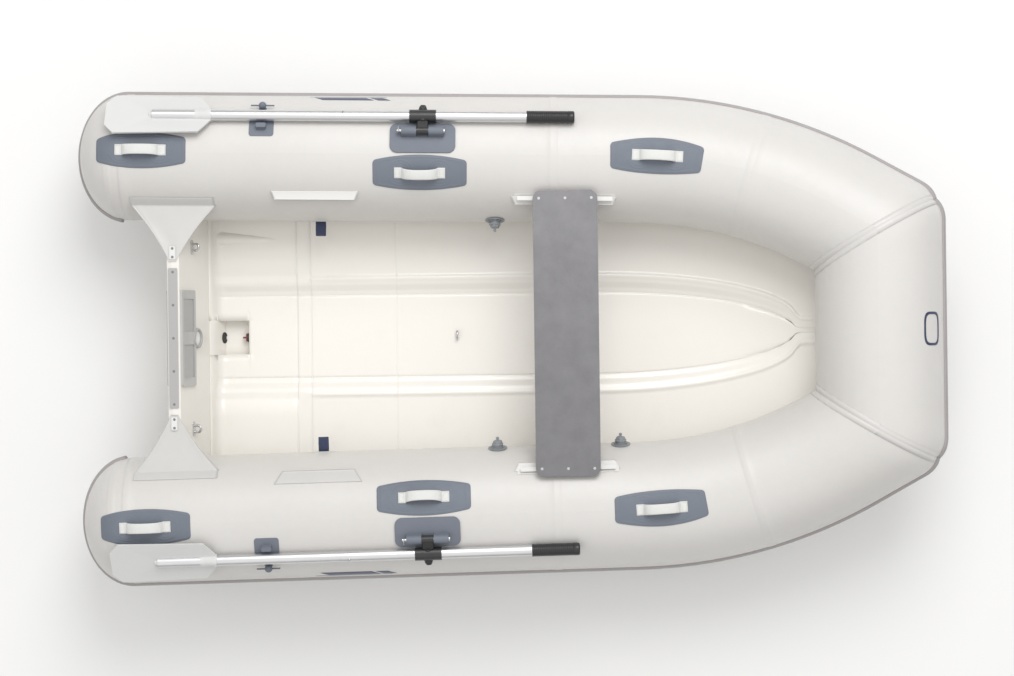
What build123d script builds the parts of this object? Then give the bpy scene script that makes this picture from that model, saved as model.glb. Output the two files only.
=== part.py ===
from build123d import *
import os
from math import atan2, cos, degrees, radians, sin, sqrt, tan

os.makedirs("parts", exist_ok=True)

# ---- the boat, in millimetres, bow to +X, port to +Y, keel pad on Z = 0 ----
length_overall = 2850
tube_radius = 207.5
tube_wall = 4
tube_clearance = 120        # underside of the side tubes above the keel pad
stern_half_spacing = 603    # tube centre to centreline, where the stern dome begins
tube_taper = 1.1            # degrees, each side tube closing towards the bow
bend_vertex_x = 790
bend_radius = 1250
bow_half_spacing = 313
bow_rise = 110
dome_length = 156
chamber_length = 1420       # from the dome to the internal baffle
strake_thickness = 10
strake_height = 44
fit_gap = 0.3

up = Vector(0, 0, 1)
tube_z = tube_clearance + tube_radius
bow_x = length_overall / 2 - strake_thickness - tube_radius
dome_x = strake_thickness + dome_length - length_overall / 2
vertex_y = stern_half_spacing - (bend_vertex_x - dome_x) * tan(radians(tube_taper))

stern = Vector(dome_x, stern_half_spacing, tube_z)
vertex = Vector(bend_vertex_x, vertex_y, tube_z)
mitre = Vector(bow_x, bow_half_spacing, tube_z + bow_rise)
aft_dir = (vertex - stern).normalized()
nose_dir = (mitre - vertex).normalized()
outboard = up.cross(aft_dir)
bend_angle = aft_dir.get_angle(nose_dir)
bend_normal = aft_dir.cross(nose_dir).normalized()
tangent_length = bend_radius * tan(radians(bend_angle / 2))
straight_length = (vertex - stern).length - tangent_length
nose_length = (mitre - vertex).length - tangent_length
bend_length = bend_radius * radians(bend_angle)
bend_start = stern + aft_dir * straight_length
bend_end = vertex + nose_dir * tangent_length
bend_centre = bend_start + bend_normal.cross(aft_dir) * bend_radius
bend_axis = Axis(bend_centre, bend_normal)
mitre_normal = (nose_dir - Vector(0, 1, 0)).normalized()
mitre_plane = Plane(origin=mitre, x_dir=up.cross(mitre_normal), z_dir=mitre_normal)


def station(distance):
    """Plane on the port tube's centreline: x forward along the tube, y outboard, z up."""
    turn = degrees(min(max(distance - straight_length, 0), bend_length) / bend_radius)
    origin = stern + aft_dir * min(distance, straight_length)
    arm = (origin - bend_centre).rotate(bend_axis, turn)
    if turn > 0:
        origin = bend_centre + arm
    forward = aft_dir.rotate(bend_axis, turn)
    origin += forward * max(distance - straight_length - bend_length, 0)
    return Plane(origin=origin, x_dir=forward, z_dir=up.rotate(bend_axis, turn))


def on_tube(distance, around, lift=0):
    """Plane standing on the port tube's skin, turned outboard from the top by around."""
    base = station(distance)
    normal = base.z_dir * cos(radians(around)) + base.y_dir * sin(radians(around))
    return Plane(origin=base.origin + normal * (tube_radius + lift), x_dir=base.x_dir, z_dir=normal)


def side_of(plane):
    """Upright plane along the tube through the same point, its y pointing off the skin."""
    return Plane(origin=plane.origin, x_dir=plane.x_dir, z_dir=-plane.y_dir)


def section_plane(distance):
    """Plane across the port tube: x outboard, y up, z forward."""
    base = station(distance)
    return Plane(origin=base.origin, x_dir=base.y_dir, z_dir=base.x_dir)


def run_of(section, start=0, overrun=500):
    """Solid of one section along the port tube, from start to beyond the mitre."""
    with BuildPart() as run:
        with BuildSketch(section_plane(start)):
            add(section)
        extrude(amount=straight_length - start)
        with BuildSketch(section_plane(straight_length)):
            add(section)
        revolve(axis=bend_axis, revolution_arc=bend_angle)
        with BuildSketch(section_plane(straight_length + bend_length)):
            add(section)
        extrude(amount=nose_length + overrun)
    return run.part


def ring_section(outer, inner):
    with BuildSketch() as ring:
        Circle(outer)
        Circle(inner, mode=Mode.SUBTRACT)
    return ring.sketch


def save(part, name):
    part.label = name
    export_step(part, f"parts/{name}.step")


def save_pair(part, name):
    """Writes the port piece and its starboard mirror image as two nodes."""
    save(part, f"port_{name}")
    save(mirror(part, about=Plane.XZ), f"starboard_{name}")


def both_sides(part):
    """The port piece and its mirror image together, as one node."""
    return Compound(children=[*part.solids(), *mirror(part, about=Plane.XZ).solids()])


def layer(thickness, distance, length):
    """Skin-hugging layer on the side tube, long enough for one patch."""
    section = ring_section(tube_radius + thickness, tube_radius)
    start = distance - length / 2
    with BuildPart() as band:
        if start < straight_length:
            with BuildSketch(section_plane(start)):
                add(section)
            extrude(amount=min(length, straight_length - start))
        if start + length > straight_length:
            with BuildSketch(section_plane(straight_length)):
                add(section)
            revolve(axis=bend_axis, revolution_arc=degrees((start + length - straight_length) / bend_radius))
    return band.part


# ---- tubes ----
with BuildSketch() as full_circle:
    Circle(tube_radius)
side_tube = run_of(full_circle.sketch)
skin_ring = ring_section(tube_radius, tube_radius - tube_wall)


def dome_curve(length, radius):
    """Quarter of the dome's outline, from its tip round to the tube."""
    half_way = sqrt(0.5)
    return Spline((-length, 0), (-length * half_way, radius * half_way), (0, radius),
                  tangents=[(0, 1), (1, 0)])


def dome_band(outer_length, outer_radius, inner_length, inner_radius):
    """Face between two dome outlines, on the positive side of the axis."""
    with BuildSketch(Plane.XY) as band:
        with BuildLine():
            outer = dome_curve(outer_length, outer_radius)
            inner = dome_curve(inner_length, inner_radius)
            Line(outer @ 1, inner @ 1)
            Line(inner @ 0, outer @ 0)
        make_face()
    return band.sketch


with BuildPart() as cone_at_origin:
    with BuildSketch(Plane.XY):
        add(dome_band(dome_length, tube_radius, dome_length - tube_wall, tube_radius - tube_wall))
    revolve(axis=Axis.X)
save(both_sides(station(0).location * cone_at_origin.part), "end_cones")

# inflation valves: distance along the tube, side; all point inboard and a little up
valve_around = -78
valve_hole_radius = 20
side_valve_at = 1218
bow_valve_at = 1624
valve_flange_radius = 31.5

with BuildPart() as aft_tube:
    with BuildSketch(section_plane(0)):
        add(skin_ring)
    extrude(amount=chamber_length)
    with BuildSketch(on_tube(side_valve_at, valve_around)):
        Circle(valve_hole_radius)
    extrude(amount=40, both=True, mode=Mode.SUBTRACT)
save_pair(aft_tube.part, "aft_tube")

with BuildPart() as quarter_tube:
    with BuildSketch(section_plane(chamber_length)):
        add(skin_ring)
    extrude(amount=straight_length - chamber_length)
    with BuildSketch(section_plane(straight_length)):
        add(skin_ring)
    revolve(axis=bend_axis, revolution_arc=bend_angle)
save(quarter_tube.part, "port_quarter_tube")
with BuildPart() as starboard_quarter:
    mirror(quarter_tube.part, about=Plane.XZ)
    with BuildSketch(on_tube(bow_valve_at, valve_around)) as bow_valve_hole:
        Circle(valve_hole_radius)
    mirror(extrude(amount=40, both=True, mode=Mode.PRIVATE), about=Plane.XZ, mode=Mode.SUBTRACT)
save(starboard_quarter.part, "starboard_quarter_tube")

with BuildPart() as nose_tube:
    with BuildSketch(section_plane(straight_length + bend_length)):
        add(skin_ring)
    extrude(amount=nose_length + 400)
    split(bisect_by=mitre_plane, keep=Keep.BOTTOM)
save(both_sides(nose_tube.part), "nose_tubes")

bow_plane = Plane(origin=(bow_x, 0, tube_z + bow_rise), x_dir=(1, 0, 0), z_dir=(0, -1, 0))


def bow_run(section):
    """Solid of one section along the bow tube, cut at both mitres."""
    with BuildPart() as run:
        with BuildSketch(bow_plane):
            add(section)
        extrude(amount=bow_half_spacing + 400, both=True)
        split(bisect_by=mitre_plane, keep=Keep.TOP)
        split(bisect_by=Plane(origin=(mitre.X, -mitre.Y, mitre.Z), x_dir=(0, 0, 1),
                              z_dir=(mitre_normal.X, -mitre_normal.Y, mitre_normal.Z)), keep=Keep.TOP)
    return run.part


bow_tube = bow_run(skin_ring)
save(bow_tube, "bow_tube")
bow_solid = bow_run(full_circle.sketch)
with BuildPart() as side_solid:
    add(side_tube)
    split(bisect_by=mitre_plane, keep=Keep.BOTTOM)
all_tubes = [side_solid.part, mirror(side_solid.part, about=Plane.XZ), bow_solid]

# baffles closing the aft chambers from the bow chamber
baffle_thickness = 3
baffle_skirt = 40
with BuildPart() as baffle:
    with BuildSketch(section_plane(chamber_length)):
        Circle(tube_radius - tube_wall)
    extrude(amount=baffle_skirt)
    with BuildSketch(section_plane(chamber_length + baffle_thickness)):
        Circle(tube_radius - tube_wall - baffle_thickness)
    extrude(amount=baffle_skirt, mode=Mode.SUBTRACT)
save(both_sides(baffle.part), "chamber_baffles")

# rub strake: a half-round band round the outside, at the widest point of the tube
with BuildSketch() as strake_section:
    with Locations((tube_radius, 0)):
        RectangleRounded(2 * strake_thickness, strake_height, strake_thickness - 1)
    Circle(tube_radius, mode=Mode.SUBTRACT)
with BuildPart() as side_strake:
    add(run_of(strake_section.sketch))
    split(bisect_by=mitre_plane, keep=Keep.BOTTOM)
outer_end = outboard.rotate(bend_axis, bend_angle)
mirrored_end = outer_end - mitre_normal * (2 * outer_end.dot(mitre_normal))
strake_lean = degrees(atan2(mirrored_end.Z, mirrored_end.X))
with BuildSketch() as bow_strake_section:
    with Locations(Rotation(0, 0, strake_lean)):
        add(strake_section.sketch)
wrap_end_x = -1275
with BuildPart() as strake_at_origin:
    with BuildSketch(Plane.XY.offset(-strake_height / 2)):
        add(dome_band(dome_length + strake_thickness, tube_radius + strake_thickness,
                      dome_length, tube_radius))
        mirror(about=Plane.XZ)
    extrude(amount=strake_height)
with BuildPart() as stern_strake:
    add(station(0).location * strake_at_origin.part)
    with BuildSketch(Plane.XY):
        with Locations((wrap_end_x + 100, stern_half_spacing - 200)):
            Rectangle(200, 400)
    extrude(amount=600, mode=Mode.SUBTRACT)
save(both_sides(side_strake.part), "side_strakes")
save(both_sides(stern_strake.part), "stern_strakes")
save(bow_run(bow_strake_section.sketch), "bow_strake")

# ---- transom plane and hull ----
transom_rake = 16
transom_top = 452
transom_mid_x = -1098
transom_thickness = 40
hull_skin = 6
liner_skin = 5
keel_pad = 50
transom_up = Vector(-sin(radians(transom_rake)), 0, cos(radians(transom_rake)))
transom_fwd = Vector(cos(radians(transom_rake)), 0, sin(radians(transom_rake)))
transom_origin = Vector(transom_mid_x, 0, transom_top)
inner_face = Plane(origin=transom_origin + transom_fwd * (transom_thickness / 2), x_dir=(0, 1, 0),
                   z_dir=transom_fwd)
outer_face = Plane(origin=transom_origin - transom_fwd * (transom_thickness / 2), x_dir=(0, -1, 0),
                   z_dir=-transom_fwd)
chine_around = 26
forefoot_x = 300
forefoot_end = 1125
forefoot_height = 252
arch_start_x = 290
hull_stations = [70, arch_start_x - dome_x, straight_length, straight_length + 0.35 * bend_length,
                 straight_length + 0.7 * bend_length, straight_length + bend_length,
                 straight_length + bend_length + 75]


def keel_height(x):
    return forefoot_height * max((x - forefoot_x) / (forefoot_end - forefoot_x), 0) ** 1.8


def hull_points(distance, lower, upper):
    """Half breadth points of the hull at one station: keel pad edge and chine, raised by skin."""
    tube = station(distance).origin
    reach = tube_radius - 3
    chine_y = tube.Y - reach * sin(radians(chine_around))
    chine_z = tube.Z - reach * cos(radians(chine_around))
    return tube.X, (keel_pad, keel_height(tube.X) + lower), (chine_y, chine_z + upper)


def hull_loft(lower, upper, top=None):
    """Loft through the stations, from one skin line up to another or up to a flat top."""
    with BuildPart() as body:
        for distance in hull_stations:
            x, pad, chine = hull_points(distance, lower, lower)
            if top is None:
                _, pad_top, chine_top = hull_points(distance, upper, upper)
            else:
                pad_top, chine_top = (keel_pad, top), (chine[0], top)
            half = [pad, chine, chine_top, pad_top]
            with BuildSketch(Plane.YZ.offset(x)):
                with BuildLine():
                    Polyline(*half, *[(-y, z) for y, z in reversed(half)], close=True)
                make_face()
        loft(ruled=True)
    return body.part


with BuildPart() as hull_shell:
    add(hull_loft(0, hull_skin))
    split(bisect_by=outer_face, keep=Keep.BOTTOM)
    for tube in all_tubes:
        add(tube, mode=Mode.SUBTRACT)
save(hull_shell.part, "hull_shell")

# ---- transom fittings ----
cap_length = 458
cap_width = 30
cap_thickness = 3
screw_head = 4.5
screw_shank = 2
screw_length = 22
flap_apex_y = 250
flap_root_y = 438
flap_forward = 143
flap_aft = 132
flap_thickness = 3
clamp_plate = (20, 43)
clamp_plate_y = 279
transom_top_plane = Plane(origin=transom_origin, x_dir=(0, 1, 0), z_dir=(0, 0, 1))


def screws(planes, length=screw_length):
    """Countersunk screws, each with its head flush with the origin of one plane."""
    with BuildPart() as group:
        with Locations(*[Location(plane) for plane in planes]):
            Cylinder(screw_shank, length, align=(Align.CENTER, Align.CENTER, Align.MAX))
            Cone(screw_shank, screw_head, screw_head - screw_shank,
                 align=(Align.CENTER, Align.CENTER, Align.MAX))
    return group.part


def pilot_holes(planes, depth):
    """Solid to cut away for the screws' heads and shanks."""
    with BuildPart() as group:
        with Locations(*[Location(plane) for plane in planes]):
            Cylinder(screw_shank, 2 * depth)
            Cone(screw_shank, screw_head, screw_head - screw_shank,
                 align=(Align.CENTER, Align.CENTER, Align.MAX))
    return group.part


cap_screw_planes = [Plane(origin=(transom_mid_x, y, transom_top + cap_thickness), z_dir=(0, 0, 1))
                    for y in (-216, -108, 0, 108, 216)]
plate_screw_planes = [Plane(origin=(transom_mid_x, y, transom_top + flap_thickness + cap_thickness),
                            z_dir=(0, 0, 1))
                      for side in (-1, 1) for y in (side * (clamp_plate_y - 14), side * (clamp_plate_y + 14))]
transom_screw_planes = cap_screw_planes + plate_screw_planes

drain_height = 122
drain_radius = 16.5
with BuildPart() as transom_board:
    with BuildSketch(outer_face):
        with Locations((0, -200)):
            Rectangle(2 * stern_half_spacing, 400 + 2)
    extrude(amount=-transom_thickness)
    split(bisect_by=Plane.XY.offset(transom_top), keep=Keep.BOTTOM)
    add(hull_loft(hull_skin, hull_skin, top=600), mode=Mode.INTERSECT)
    for tube in all_tubes[:2]:
        add(tube, mode=Mode.SUBTRACT)
    with BuildSketch(Plane.YZ.offset(-1200)):
        with Locations((0, drain_height)):
            Circle(drain_radius + 1.5)
    extrude(amount=300, mode=Mode.SUBTRACT)
    add(pilot_holes(transom_screw_planes, screw_length), mode=Mode.SUBTRACT)
save(transom_board.part, "transom_board")

# ---- floor liner ----
panel_height = 150
side_height = 172
panel_half = 140
slope_half = 196
arch_tip_x = 967
bow_floor_rise = 98
well_length = 93
well_width = 120
well_floor = 100
well_front_x = -885


def liner_points(distance):
    """Half breadth of the floor at one station: panel edge, top of its slope and the tube."""
    tube = station(distance).origin
    rise = bow_floor_rise * max((tube.X - 500) / 625, 0) ** 2
    narrow = sqrt(max(1 - (max(tube.X - arch_start_x, 0) / (arch_tip_x - arch_start_x)) ** 2, 0.01))
    high = side_height + rise
    low = high - (side_height - panel_height) * narrow
    edge = tube.Y - tube_radius * 0.5
    return tube.X, (panel_half * narrow, low), ((slope_half - 40) * narrow + 40, high), (edge, high)


with BuildPart() as floor_liner:
    for distance in hull_stations:
        x, panel, slope, edge = liner_points(distance)
        top = [panel, slope, edge]
        under = [(y, z - liner_skin) for y, z in reversed(top)]
        half = top + under
        with BuildSketch(Plane.YZ.offset(x)):
            with BuildLine():
                Polyline(*half, *[(-y, z) for y, z in reversed(half)], close=True)
            make_face()
    loft(ruled=True)
    with BuildSketch(Plane.XY.offset(well_floor - liner_skin)):
        with Locations((well_front_x - 150 + liner_skin, 0)):
            Rectangle(300, well_width + 2 * liner_skin)
    extrude(amount=panel_height - well_floor)
    with BuildSketch(Plane.XY.offset(well_floor)):
        with Locations((well_front_x - 150, 0)):
            Rectangle(300, well_width)
    extrude(amount=100, mode=Mode.SUBTRACT)
    split(bisect_by=inner_face, keep=Keep.TOP)
    for tube in all_tubes:
        add(tube, mode=Mode.SUBTRACT)
save(floor_liner.part, "floor_liner")

with BuildPart() as transom_cap:
    with BuildSketch(transom_top_plane):
        RectangleRounded(cap_length, cap_width, 4)
    extrude(amount=cap_thickness)
    add(pilot_holes(cap_screw_planes, screw_length), mode=Mode.SUBTRACT)
save(transom_cap.part, "transom_cap")
save(screws(transom_screw_planes), "transom_screws")

with BuildPart() as flap:
    with BuildSketch(Plane.XY.offset(transom_top)):
        with BuildLine():
            Polyline((transom_mid_x - 10, flap_apex_y), (transom_mid_x + 10, flap_apex_y),
                     (transom_mid_x + flap_forward, flap_root_y + 8),
                     (transom_mid_x - flap_aft, flap_root_y + 8), close=True)
        make_face()
    extrude(amount=flap_thickness)
    add(all_tubes[0], mode=Mode.SUBTRACT)
    add(pilot_holes(plate_screw_planes, screw_length), mode=Mode.SUBTRACT)
save(both_sides(flap.part), "transom_flaps")

with BuildPart() as clamp_plates:
    with BuildSketch(transom_top_plane.offset(flap_thickness)):
        with Locations((clamp_plate_y, 0), (-clamp_plate_y, 0)):
            RectangleRounded(clamp_plate[1], clamp_plate[0], 4)
    extrude(amount=cap_thickness)
    add(pilot_holes(plate_screw_planes, screw_length), mode=Mode.SUBTRACT)
save(clamp_plates.part, "flap_clamp_plates")

# motor plates on both faces, the inner one with two recesses and a middle rib
motor_plate_width = 316
motor_plate_height = 105
motor_plate_thickness = 8
motor_plate_drop = 62
for face, plate_name in ((inner_face, "inner_motor_plate"), (outer_face, "outer_motor_plate")):
    with BuildPart() as motor_plate:
        with BuildSketch(face):
            with Locations((0, -motor_plate_drop)):
                RectangleRounded(motor_plate_width, motor_plate_height, 8)
        extrude(amount=motor_plate_thickness)
        with BuildSketch(face.offset(motor_plate_thickness - 3)):
            with Locations((-75, -motor_plate_drop), (75, -motor_plate_drop)):
                RectangleRounded(108, 78, 6)
        extrude(amount=10, mode=Mode.SUBTRACT)
    save(motor_plate.part, plate_name)

eye_bar = 4
eye_y = 300
eye_drop = 105


def u_bolt(plane, width, reach, plate_length, plate_width, bar=eye_bar):
    """U bolt standing on a small plate, its two legs apart along the plane's x."""
    upright = Plane(origin=plane.origin, x_dir=plane.x_dir, z_dir=-plane.y_dir)
    with BuildPart() as eye:
        with BuildSketch(plane):
            RectangleRounded(plate_length, plate_width, plate_width / 2 - 0.5)
        extrude(amount=3)
        with BuildLine(upright) as u_line:
            left = Line((-width / 2, 1), (-width / 2, reach - width / 2))
            RadiusArc(left @ 1, (width / 2, reach - width / 2), width / 2)
            Line((width / 2, reach - width / 2), (width / 2, 1))
        with BuildSketch(Plane(origin=u_line.line @ 0, z_dir=u_line.line % 0)):
            Circle(bar)
        sweep()
    return eye.part


def eye_plane(y):
    return Plane(origin=inner_face.from_local_coords(Vector(y, -eye_drop, 0)), x_dir=(0, 1, 0),
                 z_dir=transom_fwd)


save(Compound(children=[*u_bolt(eye_plane(eye_y), 22, 26, 48, 18).solids(),
                        *u_bolt(eye_plane(-eye_y), 22, 26, 48, 18).solids()]), "transom_eyes")

# drain: pipe out through the transom, and a flanged plug on the front wall of the well
drain_wall = 2
pipe_flange = 26
plug_flange_radius = 24
plug_radius = 11
plug_height = 125
drain_front = Plane(origin=(well_front_x, 0, plug_height), x_dir=(0, 1, 0), z_dir=(-1, 0, 0))
with BuildPart() as drain_pipe:
    with BuildSketch(Plane.YZ.offset(-1200)):
        with Locations((0, drain_height)):
            Circle(drain_radius + 1.5)
            Circle(drain_radius - drain_wall, mode=Mode.SUBTRACT)
    extrude(amount=300)
    split(bisect_by=inner_face, keep=Keep.BOTTOM)
    split(bisect_by=outer_face, keep=Keep.BOTTOM)
save(drain_pipe.part, "drain_pipe")

with BuildPart() as drain_flange:
    with BuildSketch(drain_front.offset(1)):
        Circle(plug_flange_radius - 5)
        SlotOverall(2 * plug_flange_radius, 26, rotation=90)
        Circle(plug_radius + fit_gap / 5, mode=Mode.SUBTRACT)
    extrude(amount=4)
    with BuildSketch(drain_front.offset(5)):
        Circle(plug_radius + 4)
        Circle(plug_radius + fit_gap / 5, mode=Mode.SUBTRACT)
    extrude(amount=6)
save(drain_flange.part, "drain_flange")
with BuildPart() as drain_seal:
    with BuildSketch(drain_front):
        Circle(plug_flange_radius - 6)
        Circle(plug_radius + 1, mode=Mode.SUBTRACT)
    extrude(amount=1)
save(drain_seal.part, "drain_seal")
with BuildPart() as drain_plug:
    with BuildSketch(drain_front.offset(0.3)):
        Circle(plug_radius)
    extrude(amount=14)
    with BuildSketch(drain_front.offset(11 + fit_gap)):
        Circle(plug_radius + 3)
    extrude(amount=4)
    with BuildSketch(drain_front.offset(14)):
        RectangleRounded(6, 20, 2.5)
    extrude(amount=12)
save(drain_plug.part, "drain_plug")

# floor eye on the central panel and towing eye on the stem
floor_eye_x = -179
save(u_bolt(Plane(origin=(floor_eye_x, 0, panel_height), x_dir=(0, 1, 0), z_dir=(0, 0, 1)),
            26, 24, 56, 20), "floor_eye")
bow_eye_x = 960
eye_slope = degrees(atan2(keel_height(bow_eye_x + 40) - keel_height(bow_eye_x - 40), 80))
stem_down = Vector(sin(radians(eye_slope)), 0, -cos(radians(eye_slope)))
save(u_bolt(Plane(origin=(bow_eye_x, 0, keel_height(bow_eye_x) - 6),
                  x_dir=(cos(radians(eye_slope)), 0, sin(radians(eye_slope))), z_dir=stem_down),
            26, 26, 60, 24, bar=5), "bow_eye")

# ---- grab handles: barrel patches on the skin, each with a raised webbing strap ----
patch_thickness = 1.5
patch_length = 292
patch_width = 118
patch_end_width = 82
strap_length = 165
strap_width = 36
strap_height = 34
strap_thickness = 3
strap_foot = 20
aft_handle = (74, 2)
mid_handle = (961, -17)
fore_handle = (1741, 0)


def handle_patch(distance, around, length=patch_length):
    with BuildPart() as patch:
        with BuildSketch(on_tube(distance, around)):
            with BuildLine():
                left = Line((-length / 2, -patch_end_width / 2), (-length / 2, patch_end_width / 2))
                top = ThreePointArc(left @ 1, (0, patch_width / 2), (length / 2, patch_end_width / 2))
                right = Line(top @ 1, (length / 2, -patch_end_width / 2))
                ThreePointArc(right @ 1, (0, -patch_width / 2), left @ 0)
            make_face()
        extrude(amount=40, both=True)
        add(layer(patch_thickness, max(distance, length / 2), length + 60), mode=Mode.INTERSECT)
    return patch.part


def handle_strap(distance, around):
    """Arched strap with a flat foot at each end, standing on its patch."""
    stand = on_tube(distance, around, patch_thickness)
    arch = strap_length / 2 - strap_foot
    with BuildPart() as strap:
        with BuildSketch(side_of(stand)):
            with BuildLine():
                low = ThreePointArc((-arch, 0), (0, strap_height - strap_thickness), (arch, 0))
                Line(low @ 1, (strap_length / 2, 0))
                Line((strap_length / 2, 0), (strap_length / 2, strap_thickness))
                Line((strap_length / 2, strap_thickness), (arch + 2, strap_thickness))
                ThreePointArc((arch + 2, strap_thickness), (0, strap_height), (-arch - 2, strap_thickness))
                Line((-arch - 2, strap_thickness), (-strap_length / 2, strap_thickness))
                Line((-strap_length / 2, strap_thickness), (-strap_length / 2, 0))
                Line((-strap_length / 2, 0), (-arch, 0))
            make_face()
        extrude(amount=strap_width / 2, both=True)
        add(layer(patch_thickness, max(distance, 150), 300), mode=Mode.SUBTRACT)
    return strap.part


port_patches = [handle_patch(aft_handle[0] + 40, aft_handle[1], patch_length - 80),
                handle_patch(*mid_handle), handle_patch(*fore_handle)]
save(both_sides(Compound(children=port_patches)), "handle_patches")
port_straps = [handle_strap(*place) for place in (aft_handle, mid_handle, fore_handle)]
save(both_sides(Compound(children=port_straps)), "handle_straps")

# ---- valves ----
valve_body_radius = 17
cap_radius = 15


def valve_body(distance):
    stand = on_tube(distance, valve_around)
    with BuildPart() as body:
        with BuildSketch(stand.offset(-30)):
            Circle(valve_body_radius)
            Circle(valve_body_radius - 4, mode=Mode.SUBTRACT)
        extrude(amount=30 + 12)
        with BuildSketch(stand):
            Circle(valve_flange_radius)
            Circle(valve_body_radius - 4, mode=Mode.SUBTRACT)
        extrude(amount=3.5)
        with BuildSketch(stand.offset(3.5)):
            Circle(valve_body_radius + 6)
            Circle(valve_body_radius - 4, mode=Mode.SUBTRACT)
        extrude(amount=3.5)
    return body.part


def valve_cap(distance):
    """Pointed cap: a skirt over the body's neck, a shoulder and a low cone."""
    stand = on_tube(distance, valve_around, 12 + fit_gap)
    with BuildPart() as cap:
        with BuildSketch(stand):
            Circle(valve_body_radius + 2)
        extrude(amount=5)
        with BuildSketch(stand.offset(5)):
            Circle(cap_radius)
        extrude(amount=22, taper=22)
        with BuildSketch(stand):
            Circle(valve_body_radius - 4 - fit_gap / 5)
        extrude(amount=-14)
    return cap.part


port_body = valve_body(side_valve_at)
bow_body = mirror(valve_body(bow_valve_at), about=Plane.XZ)
save(Compound(children=[port_body, mirror(port_body, about=Plane.XZ), bow_body]), "valve_bodies")
save_pair(valve_cap(side_valve_at), "valve_cap")
save(mirror(valve_cap(bow_valve_at), about=Plane.XZ), "bow_valve_cap")

# ---- webbing loops on the inner sides ----
loop_at = 639
loop_around = -93
loop_width = 33
loop_reach = 52
loop_gap = 22
with BuildPart() as loop_patch:
    with BuildSketch(on_tube(loop_at, loop_around)):
        RectangleRounded(74, 62, 10)
    extrude(amount=20, both=True)
    add(layer(patch_thickness, loop_at, 100), mode=Mode.INTERSECT)
save(both_sides(loop_patch.part), "loop_patches")
with BuildPart() as web_loop:
    stand = on_tube(loop_at, loop_around, patch_thickness)
    across = Plane(origin=stand.origin, x_dir=stand.y_dir, z_dir=stand.x_dir)
    with BuildSketch(across):
        with Locations((0, loop_reach / 2)):
            RectangleRounded(loop_gap, loop_reach, loop_gap / 2 - 0.5)
            RectangleRounded(loop_gap - 6, loop_reach - 6, loop_gap / 2 - 3.5, mode=Mode.SUBTRACT)
    extrude(amount=loop_width / 2, both=True)
save(both_sides(web_loop.part), "web_loops")

# ---- seat: a folded plank whose end brackets slide on a T track glued along each tube ----
seat_x = 183
seat_length = 209
seat_half_width = 462
seat_bottom = 505
seat_depth = 22
seat_skin = 3
track_half_y = 437
track_length = 329
track_pad_width = 32
track_head = 14
track_web = 4
track_slack = 1.6
track_head_thickness = 4
bracket_wall = 2.5
bracket_length = 180
spare_track_x = -650
spare_track_length = 289


def track_plane(x, y):
    """Level plane at the tube's height, x along the port tube."""
    return Plane(origin=(x, y, 0), x_dir=aft_dir, z_dir=(0, 0, 1))


def track(x, y, length, head_top):
    """T shaped slide glued to the skin on a conforming pad."""
    with BuildPart() as rail:
        with BuildSketch(track_plane(x, y).offset(tube_z)):
            RectangleRounded(length, track_pad_width, 6)
        extrude(amount=tube_radius + 20)
        add(layer(2, x - dome_x, length + 60), mode=Mode.INTERSECT)
    with BuildPart() as tee:
        with BuildSketch(track_plane(x, y).offset(tube_z)):
            Rectangle(length - 20, track_web)
        extrude(amount=head_top - tube_z)
        with BuildSketch(track_plane(x, y).offset(head_top - track_head_thickness)):
            Rectangle(length - 20, track_head)
        extrude(amount=track_head_thickness)
        add(all_tubes[0], mode=Mode.SUBTRACT)
        split(bisect_by=Plane.XY.offset(tube_z + tube_radius * 0.6), keep=Keep.TOP)
    return rail.part + tee.part


head_top = seat_bottom - bracket_wall - fit_gap
seat_track = track(seat_x, track_half_y, track_length, head_top)
spare_y = stern_half_spacing - (spare_track_x - dome_x) * tan(radians(tube_taper)) - 124
spare_track = track(spare_track_x, spare_y, spare_track_length, head_top - 2)
save(both_sides(seat_track), "seat_tracks")
save(both_sides(spare_track), "spare_tracks")

seat_screw_planes = [Plane(origin=(seat_x + step, side * track_half_y, seat_bottom + seat_depth),
                           z_dir=(0, 0, 1)) for side in (-1, 1) for step in (-85, 0, 85)]
with BuildPart() as seat_plank:
    with BuildSketch(Plane.XY.offset(seat_bottom)):
        with Locations((seat_x, 0)):
            RectangleRounded(seat_length, 2 * seat_half_width, 26)
    extrude(amount=seat_depth)
    with BuildSketch(Plane.XY.offset(seat_bottom)):
        with Locations((seat_x, 0)):
            RectangleRounded(seat_length - 2 * seat_skin, 2 * (seat_half_width - seat_skin), 26 - seat_skin)
    extrude(amount=seat_depth - seat_skin, mode=Mode.SUBTRACT)
    add(pilot_holes(seat_screw_planes, 10), mode=Mode.SUBTRACT)
save(seat_plank.part, "seat_plank")

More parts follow.
